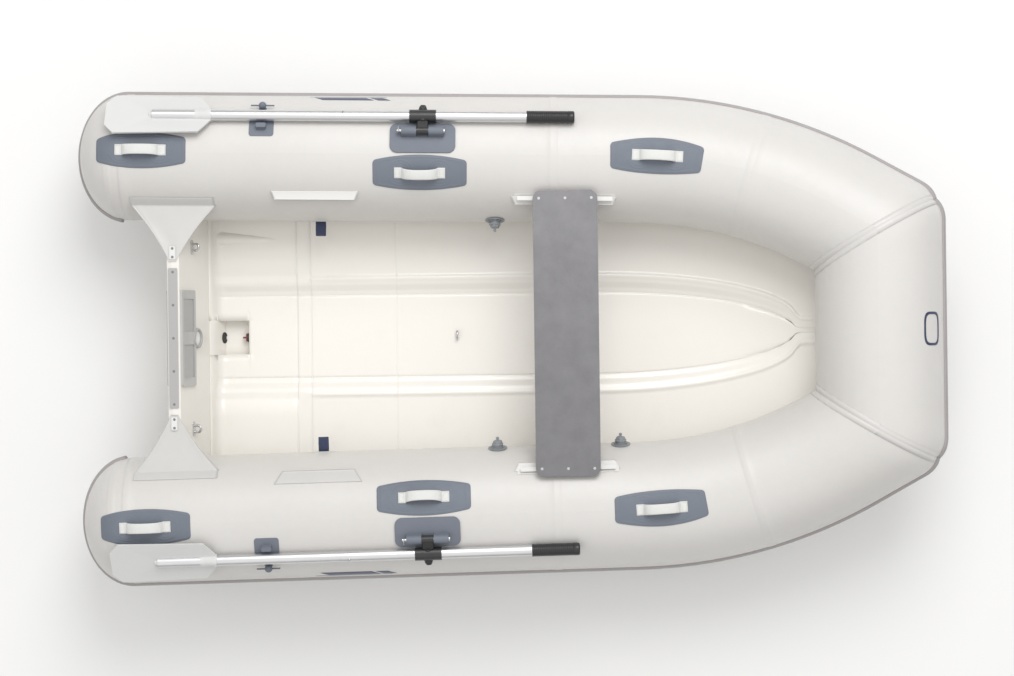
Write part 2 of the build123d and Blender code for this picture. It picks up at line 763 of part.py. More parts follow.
with BuildPart() as seat_bracket:
    inner_width = track_head + 2 * track_slack
    inner_height = track_head_thickness + 2 * fit_gap
    with BuildSketch(track_plane(seat_x, track_half_y).offset(seat_bottom - bracket_wall - inner_height
                                                             - bracket_wall)):
        Rectangle(bracket_length, inner_width + 2 * bracket_wall)
    extrude(amount=inner_height + 2 * bracket_wall)
    with BuildSketch(track_plane(seat_x, track_half_y).offset(seat_bottom - bracket_wall - inner_height)):
        Rectangle(bracket_length, inner_width)
    extrude(amount=inner_height, mode=Mode.SUBTRACT)
    with BuildSketch(track_plane(seat_x, track_half_y).offset(seat_bottom - 50)):
        Rectangle(bracket_length, track_web + 2 * track_slack)
    extrude(amount=44, mode=Mode.SUBTRACT)
    with BuildSketch(track_plane(seat_x, track_half_y).offset(seat_bottom)):
        Rectangle(bracket_length, 24)
    extrude(amount=seat_depth - seat_skin)
    with BuildSketch(track_plane(seat_x, track_half_y).offset(seat_bottom)):
        Rectangle(bracket_length, 18)
    extrude(amount=seat_depth - seat_skin - 3, mode=Mode.SUBTRACT)
    add(pilot_holes(seat_screw_planes, 10), mode=Mode.SUBTRACT)
save(both_sides(seat_bracket.part), "seat_brackets")
save(screws(seat_screw_planes, length=8), "seat_screws")

# ---- oarlocks and oars: the stem hinges on a fore-and-aft pin over the oarlock base ----
oarlock_at = 984
pin_around = 18.5
pin_lift = 24
pin_radius = 5
pin_gap = 0.06
barrel_radius = 14
barrel_length = 48
barrel_span = 136
base_length = 212
base_width = 98
base_thickness = 6
oar_around = 32
oar_gap = 5
shaft_radius = 18
shaft_wall = 2
pin_stand = on_tube(oarlock_at, pin_around, pin_lift)
oar_stand = on_tube(oarlock_at, oar_around, shaft_radius + oar_gap)
stem_dir = (oar_stand.origin - pin_stand.origin).normalized()
stem_reach = (oar_stand.origin - pin_stand.origin).length
pin_section = Plane(origin=pin_stand.origin, x_dir=stem_dir, z_dir=pin_stand.x_dir)
stem_plane = Plane(origin=pin_stand.origin, x_dir=pin_stand.x_dir, z_dir=stem_dir)
oar_section = Plane(origin=oar_stand.origin, x_dir=oar_stand.y_dir, z_dir=oar_stand.x_dir)
stem_post_radius = 6
knuckle_length = barrel_span - 2 * barrel_length - 2

with BuildPart() as oarlock_base:
    with BuildSketch(on_tube(oarlock_at, pin_around - 4)):
        RectangleRounded(base_length, base_width, 24)
    extrude(amount=40, both=True)
    add(layer(base_thickness, oarlock_at, base_length + 40), mode=Mode.INTERSECT)
    for end in (-1, 1):
        with BuildSketch(pin_section.offset(end * (barrel_span - barrel_length) / 2 - barrel_length / 2)):
            Circle(barrel_radius)
        extrude(amount=barrel_length)
    for end in (-1, 1):
        with BuildSketch(on_tube(oarlock_at, pin_around)):
            with Locations((end * (barrel_span - barrel_length) / 2, 0)):
                Rectangle(barrel_length, 2 * barrel_radius)
        extrude(amount=pin_lift)
    with BuildSketch(pin_section.offset(-barrel_span)):
        Circle(pin_radius + pin_gap)
    extrude(amount=2 * barrel_span, mode=Mode.SUBTRACT)
save(both_sides(oarlock_base.part), "oarlock_bases")

pin_head = 8
ring_radius = 11
ring_bar = 1.2
ring_slack = 1.5
ring_setback = 8
with BuildPart() as pivot_pin:
    with BuildSketch(pin_section.offset(-barrel_span / 2 - 14)):
        Circle(pin_radius)
    extrude(amount=barrel_span + 14)
    with BuildSketch(pin_section.offset(barrel_span / 2)):
        Circle(pin_head)
    extrude(amount=4)
    with BuildSketch(side_of(pin_stand)):
        with Locations((-barrel_span / 2 - ring_setback, 0)):
            Circle(ring_bar + ring_slack)
    extrude(amount=20, both=True, mode=Mode.SUBTRACT)
ring_plane = Plane(origin=pin_stand.origin - pin_stand.x_dir * (barrel_span / 2 + ring_setback),
                   x_dir=pin_stand.z_dir, z_dir=pin_stand.x_dir)
with BuildPart() as split_ring:
    with BuildSketch(Plane(origin=ring_plane.origin + ring_plane.x_dir * (2 * ring_radius),
                           x_dir=ring_plane.x_dir, z_dir=-ring_plane.y_dir)):
        Circle(ring_bar)
    revolve(axis=Axis(ring_plane.origin + ring_plane.x_dir * ring_radius, ring_plane.z_dir))
save(both_sides(Compound(children=[*pivot_pin.part.solids(), *split_ring.part.solids()])), "pivot_pins")

with BuildPart() as stem:
    with BuildSketch(pin_section.offset(-knuckle_length / 2)):
        Circle(barrel_radius - 1)
    extrude(amount=knuckle_length)
    with BuildSketch(stem_plane):
        RectangleRounded(knuckle_length, 22, 6)
    extrude(amount=stem_reach - shaft_radius - 6)
    with BuildSketch(stem_plane):
        Circle(stem_post_radius)
    extrude(amount=stem_reach + shaft_radius + 18)
    with BuildSketch(pin_section.offset(-barrel_span)):
        Circle(pin_radius + pin_gap)
    extrude(amount=2 * barrel_span, mode=Mode.SUBTRACT)
save_pair(stem.part, "oarlock_stem")

collar_length = 86
collar_wall = 3.5
with BuildPart() as collar:
    with BuildSketch(oar_section.offset(-collar_length / 2)):
        Circle(shaft_radius + collar_wall)
    extrude(amount=collar_length)
    with BuildSketch(stem_plane.offset(stem_reach - shaft_radius - 6 + fit_gap)):
        Circle(15)
    extrude(amount=2 * shaft_radius + 12 - fit_gap)
    with BuildSketch(oar_section.offset(-collar_length)):
        Circle(shaft_radius + 0.1)
    extrude(amount=2 * collar_length, mode=Mode.SUBTRACT)
    with BuildSketch(stem_plane):
        Circle(stem_post_radius + 0.1)
    extrude(amount=200, mode=Mode.SUBTRACT)
save_pair(collar.part, "oar_collar")

with BuildPart() as knob:
    with BuildSketch(stem_plane.offset(stem_reach + shaft_radius + 6 + fit_gap)):
        RegularPolygon(13, 8)
    extrude(amount=14)
    fillet(knob.edges().filter_by(Axis(stem_plane.origin, stem_dir)), 1.5)
    with BuildSketch(stem_plane):
        Circle(stem_post_radius + 0.06)
    extrude(amount=stem_reach + shaft_radius + 18 + 0.5, mode=Mode.SUBTRACT)
save_pair(knob.part, "oar_knob")

# the oar, measured forward from the oarlock along its own axis
shaft_joint = -283
spigot_length = 100
spigot_radius = shaft_radius - shaft_wall - 0.15
spigot_bore = spigot_radius - 2.5
blade_tip = -1025
blade_root = -687
socket_start = -883
socket_end = -682
grip_start = 335
grip_length = 155
grip_radius = 20.5
button_at = -255
button_radius = 4
button_rise = 5
button_travel = 3
blade_width = 150
blade_thickness = 7


def oar_disc(at):
    return oar_section.offset(at)


cross_hole = stem_plane
with BuildPart() as fore_shaft:
    with BuildSketch(oar_disc(shaft_joint)):
        Circle(shaft_radius)
        Circle(shaft_radius - shaft_wall, mode=Mode.SUBTRACT)
    extrude(amount=grip_start + grip_length - 12 - shaft_joint)
    with BuildSketch(cross_hole):
        Circle(stem_post_radius + 0.1)
    extrude(amount=200, mode=Mode.SUBTRACT)
    with BuildSketch(oar_stand):
        with Locations((button_at, 0)):
            Circle(button_radius + 0.2)
    extrude(amount=40, mode=Mode.SUBTRACT)
save_pair(fore_shaft.part, "oar_fore_shaft")

with BuildPart() as aft_shaft:
    with BuildSketch(oar_disc(socket_start + 10)):
        Circle(shaft_radius)
    extrude(amount=shaft_joint - 0.5 - socket_start - 10)
    with BuildSketch(oar_disc(shaft_joint - 0.5)):
        Circle(spigot_radius)
    extrude(amount=spigot_length)
    with BuildSketch(oar_disc(socket_start + 10)):
        Circle(spigot_bore)
    extrude(amount=2000, mode=Mode.SUBTRACT)
    with BuildSketch(oar_stand):
        with Locations((button_at, 0)):
            Circle(button_radius + 0.06)
    extrude(amount=40, mode=Mode.SUBTRACT)
save_pair(aft_shaft.part, "oar_aft_shaft")

with BuildPart() as button:
    with BuildSketch(oar_stand.offset(spigot_bore - 9)):
        with Locations((button_at, 0)):
            Circle(button_radius + 1)
    extrude(amount=3)
    with BuildSketch(oar_stand.offset(spigot_bore - 6)):
        with Locations((button_at, 0)):
            Circle(button_radius)
    extrude(amount=6 + shaft_radius - spigot_bore + button_rise)
    fillet(button.faces().sort_by(Axis(oar_stand.origin, oar_stand.z_dir))[-1].edges(), 1.5)
save_pair(button.part, "snap_button")

with BuildPart() as grip:
    with BuildSketch(oar_disc(grip_start)):
        Circle(grip_radius)
    extrude(amount=grip_length)
    fillet(grip.edges().filter_by(GeomType.CIRCLE), 4)
    with BuildSketch(oar_disc(grip_start - 1)):
        Circle(shaft_radius + 0.1)
    extrude(amount=grip_length - 12 + 1.2, mode=Mode.SUBTRACT)
save_pair(grip.part, "oar_grip")

with BuildPart() as blade:
    with BuildSketch(Plane(origin=oar_stand.origin, x_dir=oar_stand.x_dir, z_dir=oar_stand.z_dir)):
        with BuildLine():
            Polyline((blade_root + 5, -20), (blade_root - 35, -blade_width / 2 + 6),
                     (blade_tip + 30, -blade_width / 2), (blade_tip, -blade_width / 2 + 32),
                     (blade_tip, blade_width / 2 - 32), (blade_tip + 30, blade_width / 2),
                     (blade_root - 35, blade_width / 2 - 6), (blade_root + 5, 20), close=True)
        make_face()
    extrude(amount=blade_thickness / 2, both=True)
    with BuildSketch(oar_disc(socket_start)):
        Circle(10)
    with BuildSketch(oar_disc(socket_end)):
        Circle(shaft_radius + 3)
    loft()
    with BuildSketch(oar_disc(socket_start + 10 - fit_gap)):
        Circle(shaft_radius + 0.1)
    extrude(amount=400, mode=Mode.SUBTRACT)
save_pair(blade.part, "oar_blade")

# ---- keepers: a pad with a lug inboard of the shaft, a strap under it and a toggle ball outboard ----
keeper_at = 462
keeper_pad = (80, 60)
lug_around = 25.5
ball_around = 45.5
ball_radius = 12.5
with BuildPart() as keeper_base:
    with BuildSketch(on_tube(keeper_at, lug_around - 2)):
        RectangleRounded(*keeper_pad, 10)
    extrude(amount=30, both=True)
    add(layer(patch_thickness, keeper_at, 120), mode=Mode.INTERSECT)
    with BuildSketch(on_tube(keeper_at, lug_around - 2)):
        RectangleRounded(32, 16, 4)
    extrude(amount=20)
    add(side_solid.part, mode=Mode.SUBTRACT)
save(both_sides(keeper_base.part), "keeper_bases")
toggle_bar = 2.5
toggle_length = 76
toggle_plane = side_of(on_tube(keeper_at, ball_around, patch_thickness + 0.5 + ball_radius))
with BuildPart() as keeper_toggle:
    with BuildSketch(toggle_plane):
        Circle(ball_radius)
        Rectangle(toggle_length, 2 * toggle_bar)
        with Locations((0, -ball_radius)):
            Rectangle(2 * toggle_length, 2 * ball_radius, mode=Mode.SUBTRACT)
    revolve(axis=Axis(toggle_plane.origin, toggle_plane.x_dir))
save(both_sides(keeper_toggle.part), "keeper_toggles")
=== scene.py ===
import bpy
from math import acos, atan2, cos, exp, pi, radians, sin, sqrt, tan
from mathutils import Matrix, Vector, noise


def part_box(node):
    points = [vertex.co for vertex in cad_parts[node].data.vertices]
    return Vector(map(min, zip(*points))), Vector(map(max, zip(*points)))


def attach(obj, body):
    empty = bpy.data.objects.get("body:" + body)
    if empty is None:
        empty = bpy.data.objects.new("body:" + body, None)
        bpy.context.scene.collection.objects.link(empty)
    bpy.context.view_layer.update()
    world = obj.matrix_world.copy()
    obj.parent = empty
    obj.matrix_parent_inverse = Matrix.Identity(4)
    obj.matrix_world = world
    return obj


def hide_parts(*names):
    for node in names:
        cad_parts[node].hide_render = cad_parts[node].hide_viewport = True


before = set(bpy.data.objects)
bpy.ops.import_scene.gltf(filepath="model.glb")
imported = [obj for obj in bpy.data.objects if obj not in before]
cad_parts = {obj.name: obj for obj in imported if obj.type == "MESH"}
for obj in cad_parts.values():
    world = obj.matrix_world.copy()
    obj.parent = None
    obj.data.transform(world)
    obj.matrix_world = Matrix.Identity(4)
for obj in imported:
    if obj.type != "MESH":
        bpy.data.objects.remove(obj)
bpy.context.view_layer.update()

print("frame loaded:", len(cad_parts), "nodes")


class Wire:
    # one output socket; arithmetic on it adds Math nodes
    def __init__(self, nodes, socket):
        self.nodes = nodes
        self.socket = socket

    def maths(self, operation, first, second=None):
        sockets = {0: first} if second is None else {0: first, 1: second}
        return self.nodes.add("ShaderNodeMath", {"operation": operation}, sockets)

    def __add__(self, other):
        return self.maths("ADD", self, other)

    def __radd__(self, other):
        return self.maths("ADD", other, self)

    def __sub__(self, other):
        return self.maths("SUBTRACT", self, other)

    def __rsub__(self, other):
        return self.maths("SUBTRACT", other, self)

    def __mul__(self, other):
        return self.maths("MULTIPLY", self, other)

    def __rmul__(self, other):
        return self.maths("MULTIPLY", other, self)

    def __abs__(self):
        return self.maths("ABSOLUTE", self)

    def wave(self, turns):
        return self.maths("SINE", self * (turns * 2 * pi))

    def between(self, low, high):
        # 0 below low, 1 above high
        sockets = {"Value": self, "From Min": low, "From Max": high}
        return self.nodes.add("ShaderNodeMapRange", {}, sockets, "Result")


class Nodes:
    # a node tree; every node is added here
    def __init__(self, tree):
        self.tree = tree

    def add(self, kind, settings, sockets, out=0):
        node = self.tree.nodes.new(kind)
        for key, value in settings.items():
            setattr(node, key, value)
        for key, value in sockets.items():
            self.put(node.inputs[key], value)
        return Wire(self, node.outputs[out])

    def put(self, socket, value):
        if isinstance(value, Wire):
            self.tree.links.new(value.socket, socket)
        else:
            socket.default_value = value


class Finish(Nodes):
    # one material: its shader, its object coordinates and its UVs
    def __init__(self, name, colour, roughness, metallic=0.0, **sockets):
        self.material = bpy.data.materials.new(name)
        self.material.use_nodes = True
        super().__init__(self.material.node_tree)
        self.shader = self.tree.nodes["Principled BSDF"]
        self.feed("Base Color", (*colour, 1))
        self.feed("Roughness", roughness)
        self.feed("Metallic", metallic)
        for key, value in sockets.items():
            self.feed(key.replace("_", " "), value)
        self.place = self.add("ShaderNodeTexCoord", {}, {}, "Object")

    def feed(self, socket, value):
        self.put(self.shader.inputs[socket], value)

    def uv(self, axis):
        flat = self.add("ShaderNodeTexCoord", {}, {}, "UV")
        return self.add("ShaderNodeSeparateXYZ", {}, {0: flat}, axis)

    def cloud(self, scale, detail=3.0, rough=0.55, stretch=None, seed=0.0):
        where = self.place
        if stretch:
            where = self.add("ShaderNodeMapping", {}, {"Vector": where, "Scale": stretch})
        sockets = {"Vector": where, "W": seed, "Scale": scale, "Detail": detail, "Roughness": rough}
        return self.add("ShaderNodeTexNoise", {"noise_dimensions": "4D"}, sockets, "Fac")

    def wornEdge(self):
        # 1 on outer edges
        return self.add("ShaderNodeNewGeometry", {}, {}, "Pointiness").between(0.51, 0.58)

    def mix(self, amount, first, second):
        tones = [tone if isinstance(tone, Wire) else (*tone, 1) for tone in (first, second)]
        return self.add("ShaderNodeMix", {"data_type": "RGBA"}, {0: amount, 6: tones[0], 7: tones[1]}, 2)

    def bump(self, height, distance, strength=1.0, under=None):
        sockets = {"Height": height, "Distance": distance, "Strength": strength}
        if under:
            sockets["Normal"] = under
        return self.add("ShaderNodeBump", {}, sockets, "Normal")


def fabricFinish(name, colour, soiled, roughness, weave, depth=0.00012):
    # coated cloth: fine weave in the bump, faint scuffs and soil
    f = Finish(name, colour, roughness, Sheen_Weight=0.05, Specular_IOR_Level=0.42)
    cloth = f.uv("X").wave(weave) * f.uv("Y").wave(weave)
    soft = f.cloud(2.3, 4, 0.6)
    fine = f.cloud(38, 5, 0.65, seed=2.0)
    soil = (soft * 0.7 + fine * 0.3).between(0.42, 0.72)
    scuff = f.cloud(9, 6, 0.7, (1, 5, 5), 5.0).between(0.66, 0.74)
    tone = f.mix(soil * 0.35, colour, soiled)
    f.feed("Base Color", f.mix(scuff * 0.14, tone, (0.55, 0.54, 0.52)))
    f.feed("Roughness", fine * 0.12 + soil * 0.06 + (roughness - 0.07))
    f.feed("Normal", f.bump(cloth * 0.5 + fine * 0.8, depth, 0.55))
    return f.material


def gelcoatFinish(name, colour, shade, grip=0.0, roughness=0.22):
    # polyester gelcoat: glossy coat over slight waviness, with a moulded non-slip grain where grip is set
    f = Finish(name, colour, roughness, Coat_Weight=0.45, Coat_Roughness=0.12)
    broad = f.cloud(1.6, 3, 0.5, seed=1.0)
    speck = f.cloud(60, 4, 0.6, seed=4.0)
    stain = f.cloud(5.5, 6, 0.7, seed=9.0).between(0.56, 0.78)
    f.feed("Base Color", f.mix(stain * 0.25 + broad * 0.25, colour, shade))
    f.feed("Roughness", speck * 0.16 + stain * 0.15 + (roughness - 0.05))
    wave = f.bump(broad, 0.0015, 0.25)
    grains = {"Vector": f.place, "Scale": 260.0}
    cell = f.add("ShaderNodeTexVoronoi", {"feature": "SMOOTH_F1"}, grains, "Distance")
    f.feed("Normal", f.bump(cell * grip + speck * 0.3, 0.00035, 0.4, wave))
    return f.material


def plasticFinish(name, colour, roughness=0.42, worn=None, grain=0.0002, coat=0.0):
    # moulded plastic: fine spark texture, rubbed edges and a little dust
    f = Finish(name, colour, roughness, Coat_Weight=coat)
    spark = f.cloud(900, 3, 0.6, seed=3.0)
    dust = f.cloud(24, 6, 0.7, seed=6.0)
    lighter = worn or tuple(min(c * 1.5 + 0.03, 0.9) for c in colour)
    rubbed = f.mix(f.wornEdge() * dust * 0.8, colour, lighter)
    darker = tuple(c * 0.82 for c in colour)
    f.feed("Base Color", f.mix(dust * 0.35, rubbed, darker))
    f.feed("Roughness", spark * 0.1 + dust * 0.18 + (roughness - 0.12))
    f.feed("Normal", f.bump(spark + dust * 0.3, grain, 0.6))
    return f.material


def metalFinish(name, colour, roughness, grainScale, stretch, mottle=0.12):
    # drawn or brushed metal with fine lines along one direction and dull handled patches
    f = Finish(name, colour, roughness, 1.0)
    lines = f.cloud(grainScale, 4, 0.7, stretch, 1.0)
    haze = f.cloud(13, 5, 0.65, seed=7.0)
    scratch = f.cloud(30, 8, 0.75, tuple(s * 2 for s in stretch), 8.0).between(0.64, 0.70)
    dull = tuple(c * 0.72 for c in colour)
    tone = f.mix(haze * mottle * 3, colour, dull)
    f.feed("Base Color", f.mix(scratch * 0.3, tone, tuple(min(c * 1.2, 0.95) for c in colour)))
    f.feed("Roughness", lines * 0.14 + haze * 0.2 + (roughness - 0.14))
    f.feed("Normal", f.bump(lines + scratch * 0.4, 0.00012, 0.5))
    return f.material


def webbingFinish(name, colour, shade, ribs=520):
    # woven strap: plain weave from the UVs, with painted shade in the hollows between the yarns and random
    # wear
    f = Finish(name, colour, 0.72, Sheen_Weight=0.25)
    yarn = abs(f.uv("X").wave(ribs) * f.uv("Y").wave(ribs * 0.8))
    wear = f.cloud(45, 5, 0.65, seed=3.0)
    # the weave's hollows are darkened: painted shade, mixed with random wear
    f.feed("Base Color", f.mix(yarn * 0.35 + wear * 0.35, colour, shade))
    f.feed("Roughness", yarn * 0.1 + wear * 0.15 + 0.62)
    f.feed("Normal", f.bump(1 - yarn, 0.0004, 0.7))
    return f.material


def rubberFinish(name, colour, shade):
    f = Finish(name, colour, 0.58)
    grime = f.cloud(7, 6, 0.7, seed=5.0)
    pore = f.cloud(420, 3, 0.6, seed=1.0)
    f.feed("Base Color", f.mix(grime * 0.55, colour, shade))
    f.feed("Roughness", grime * 0.2 + pore * 0.1 + 0.45)
    f.feed("Normal", f.bump(pore + grime * 0.4, 0.0003, 0.5))
    return f.material


tubeMat = fabricFinish("coatedFabric", (0.652, 0.636, 0.615), (0.56, 0.54, 0.515), 0.36, 900)
flapMat = fabricFinish("flapFabric", (0.60, 0.59, 0.575), (0.50, 0.49, 0.475), 0.42, 700)
patchMat = fabricFinish("patchRubber", (0.165, 0.187, 0.225), (0.11, 0.125, 0.155), 0.50, 500, 0.0002)
tapeMat = fabricFinish("seamTape", (0.635, 0.62, 0.60), (0.54, 0.525, 0.50), 0.33, 900)
lightPatchMat = fabricFinish("palePatch", (0.64, 0.64, 0.62), (0.55, 0.55, 0.53), 0.46, 700)
decalMat = fabricFinish("navyDecal", (0.028, 0.042, 0.10), (0.02, 0.03, 0.075), 0.30, 800, 0.00005)
decalGreyMat = fabricFinish("greyDecal", (0.25, 0.29, 0.36), (0.2, 0.23, 0.3), 0.30, 800, 0.00005)
strakeMat = rubberFinish("strakeRubber", (0.40, 0.375, 0.375), (0.30, 0.28, 0.285))
strakeLineMat = rubberFinish("strakeLine", (0.115, 0.105, 0.115), (0.075, 0.07, 0.075))
greyRubberMat = rubberFinish("greyRubber", (0.175, 0.195, 0.235), (0.12, 0.135, 0.165))
sealMat = rubberFinish("sealRubber", (0.03, 0.03, 0.032), (0.02, 0.02, 0.02))
hullMat = gelcoatFinish("hullGelcoat", (0.80, 0.785, 0.735), (0.70, 0.68, 0.62))
floorMat = gelcoatFinish("floorGelcoat", (0.84, 0.815, 0.765), (0.74, 0.70, 0.63), 1.0, 0.32)
boardMat = gelcoatFinish("boardGelcoat", (0.80, 0.78, 0.735), (0.70, 0.67, 0.61), 0.0, 0.34)
whiteMat = plasticFinish("whitePlastic", (0.76, 0.76, 0.75), 0.40, (0.66, 0.65, 0.63))
trackMat = plasticFinish("trackPlastic", (0.74, 0.73, 0.71), 0.42, (0.80, 0.79, 0.77))
greyMat = plasticFinish("greyPlastic", (0.24, 0.255, 0.27), 0.40)
motorMat = plasticFinish("motorPadPlastic", (0.40, 0.40, 0.395), 0.34, coat=0.2)
blackMat = plasticFinish("blackPlastic", (0.018, 0.018, 0.02), 0.34)
maroonMat = plasticFinish("maroonPlastic", (0.17, 0.012, 0.02), 0.30, coat=0.2)
bladeMat = plasticFinish("bladePlastic", (0.66, 0.665, 0.66), 0.36, (0.74, 0.74, 0.73), 0.0004)
shaftMat = metalFinish("shaftAluminium", (0.74, 0.74, 0.75), 0.34, 40, (1, 40, 40))
seatMat = metalFinish("seatAluminium", (0.275, 0.27, 0.28), 0.42, 30, (40, 1, 40), 0.45)
capMat = metalFinish("capAluminium", (0.50, 0.49, 0.485), 0.36, 40, (30, 1, 30))
steelMat = metalFinish("stainlessSteel", (0.62, 0.62, 0.63), 0.24, 60, (4, 4, 4))
screwMat = metalFinish("screwHeads", (0.26, 0.26, 0.27), 0.34, 60, (4, 4, 4))
whiteWebMat = webbingFinish("whiteWebbing", (0.80, 0.80, 0.78), (0.62, 0.62, 0.60))
navyWebMat = webbingFinish("navyWebbing", (0.035, 0.05, 0.11), (0.015, 0.02, 0.05))
threadMat = webbingFinish("stitchThread", (0.74, 0.74, 0.72), (0.55, 0.55, 0.53), 1500)


# finishes for the CAD nodes, by slot and then by node
slotMaterials = {
    "tube_fabric": tubeMat, "strake_rubber": strakeMat, "hull_gelcoat": hullMat, "floor_gelcoat": floorMat,
    "transom_board": boardMat, "white_plastic": whiteMat, "aluminium": shaftMat, "track_plastic": trackMat,
    "stainless": steelMat, "grey_plastic": greyMat, "black_plastic": blackMat, "seal_rubber": sealMat,
    "maroon_plastic": maroonMat, "patch_fabric": patchMat, "white_webbing": whiteWebMat,
    "navy_webbing": navyWebMat, "blade_plastic": bladeMat, "grey_rubber": greyRubberMat}
nodeMaterials = {
    "transom_screws": screwMat, "seat_plank": seatMat, "transom_cap": capMat, "inner_motor_plate": motorMat,
    "outer_motor_plate": motorMat}
for nodeName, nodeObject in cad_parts.items():
    for holder in nodeObject.material_slots:
        slotName = holder.material.name.split(".")[0]
        holder.link = "OBJECT"
        holder.material = nodeMaterials.get(nodeName, slotMaterials.get(slotName, greyMat))
print("finishes made")

# the boat's lines, in metres, as the frame has them: port is +Y, the bow +X
lines = dict(overall=2.85, radius=0.2075, clearance=0.120, sternHalf=0.603, taper=1.1, bendX=0.790,
             bendRadius=1.25, bowHalf=0.313, bowRise=0.110, dome=0.156, strake=0.010)
radius = lines["radius"]
axisZ = lines["clearance"] + radius
bowX = lines["overall"] / 2 - lines["strake"] - radius
domeX = lines["strake"] + lines["dome"] - lines["overall"] / 2
sternPoint = Vector((domeX, lines["sternHalf"], axisZ))
bendHalf = lines["sternHalf"] - (lines["bendX"] - domeX) * tan(radians(lines["taper"]))
bendPoint = Vector((lines["bendX"], bendHalf, axisZ))
mitrePoint = Vector((bowX, lines["bowHalf"], axisZ + lines["bowRise"]))
aftDir = (bendPoint - sternPoint).normalized()
noseDir = (mitrePoint - bendPoint).normalized()
bendAngle = aftDir.angle(noseDir)
bendNormal = aftDir.cross(noseDir).normalized()
tangentLength = lines["bendRadius"] * tan(bendAngle / 2)
straightLength = (bendPoint - sternPoint).length - tangentLength
bendLength = lines["bendRadius"] * bendAngle
bendCentre = sternPoint + aftDir * straightLength + bendNormal.cross(aftDir) * lines["bendRadius"]
mitreNormal = (noseDir - Vector((0, 1, 0))).normalized()
noseStart = straightLength + bendLength


def mirrored(point, side):
    return Vector((point.x, point.y * side, point.z))


def stationAt(d):
    # origin, forward, outboard and up on the port tube's centreline
    turn = min(max(d - straightLength, 0), bendLength) / lines["bendRadius"]
    spin = Matrix.Rotation(turn, 3, bendNormal)
    origin = sternPoint + aftDir * min(d, straightLength)
    if turn > 0:
        origin = bendCentre + spin @ (sternPoint + aftDir * straightLength - bendCentre)
    forward = spin @ aftDir
    upward = spin @ Vector((0, 0, 1))
    origin = origin + forward * max(d - noseStart, 0)
    return origin, forward, upward.cross(forward), upward


def skinAt(d, around, lift=0.0):
    # a point on the port tube or its stern dome, around in radians from the top towards outboard
    origin, forward, outboard, upward = stationAt(d)
    normal = upward * cos(around) + outboard * sin(around)
    if d < 0:
        t = min(-d / lines["dome"], 1.0)
        share = sqrt(max(1 - t * t, 0))
        lean = (normal * share * lines["dome"] - forward * t * radius).normalized()
        return origin + normal * (radius * share) + lean * lift
    return origin + normal * (radius + lift)


def noseEnd(around, lift=0.0):
    # distance at which this line of the nose meets the mitre
    origin, forward, outboard, upward = stationAt(noseStart)
    start = origin + (upward * cos(around) + outboard * sin(around)) * (radius + lift)
    return noseStart + (mitrePoint - start).dot(mitreNormal) / forward.dot(mitreNormal)


def makeMesh(name, points, faces, material, body="boat", uvs=None, flip=False, smooth=True):
    mesh = bpy.data.meshes.new(name)
    if flip:
        faces = [tuple(reversed(face)) for face in faces]
    mesh.from_pydata([tuple(point) for point in points], [], faces)
    mesh.validate()
    if uvs:
        layer = mesh.uv_layers.new(name="surface")
        for loop in mesh.loops:
            layer.data[loop.index].uv = uvs[loop.vertex_index]
    if smooth:
        mesh.polygons.foreach_set("use_smooth", [True] * len(mesh.polygons))
    mesh.materials.append(material)
    piece = bpy.data.objects.new(name, mesh)
    bpy.context.scene.collection.objects.link(piece)
    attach(piece, body)
    return piece


def gridFaces(rows, columns, closedAcross=False, closedAlong=False, start=0):
    faces = []
    for i in range(rows if closedAlong else rows - 1):
        for j in range(columns if closedAcross else columns - 1):
            a, b = i * columns + j, i * columns + (j + 1) % columns
            c, d = ((i + 1) % rows) * columns + (j + 1) % columns, ((i + 1) % rows) * columns + j
            faces.append((start + a, start + d, start + c, start + b))
    return faces


def endFaces(rows, count):
    # flat ends of a run of closed rings
    return [tuple(range(count)), tuple(reversed(range((rows - 1) * count, rows * count)))]


def axesAt(distance, around):
    # on a side tube: centreline, forward, the skin's normal and the way round the tube
    origin, forward, outboard, upward = stationAt(distance)
    return (origin, forward, upward * cos(around) + outboard * sin(around),
            outboard * cos(around) - upward * sin(around))


tube = dict(segments=112, step=0.024, dimple=0.0007, pucker=0.0016, seamRise=0.0009, seamWidth=0.024)
domeSeam = -0.052
# transverse laps of the fabric panels, with the lap's forward edge
lapSeams = (domeSeam, 0.0, 1.395, straightLength + 0.52 * bendLength)


def seamLift(d):
    rise = 0.0
    for seam in lapSeams:
        into = min(max((d - seam) / 0.002 + 0.5, 0), 1)
        outOf = min(max((seam + tube["seamWidth"] - d) / 0.002 + 0.5, 0), 1)
        rise = max(rise, tube["seamRise"] * into * outOf)
    return rise


def lineUp(first, last, step, extra=()):
    count = max(int(round((last - first) / step)), 1)
    marks = [first + (last - first) * i / count for i in range(count + 1)]
    marks += [e for e in extra if first < e < last]
    return sorted(set(round(m, 5) for m in marks))


seamSteps = (-0.0012, 0.0012, tube["seamWidth"] - 0.0012, tube["seamWidth"] + 0.0012)
seamEdges = [seam + step for seam in lapSeams for step in seamSteps]


def ridgePoint(around, lift=0.0):
    # on the mitre between the nose and the bow tube
    origin, forward, normal, across = axesAt(noseEnd(around, lift), around)
    return origin + normal * (radius + lift)


bowCentre = Vector((bowX, 0, axisZ + lines["bowRise"]))
corner = dict(bend=0.15, halfTurn=radians(30), spread=1.2)


def bowNormal(point):
    flat = Vector((point.x - bowCentre.x, 0, point.z - bowCentre.z))
    return flat.normalized()


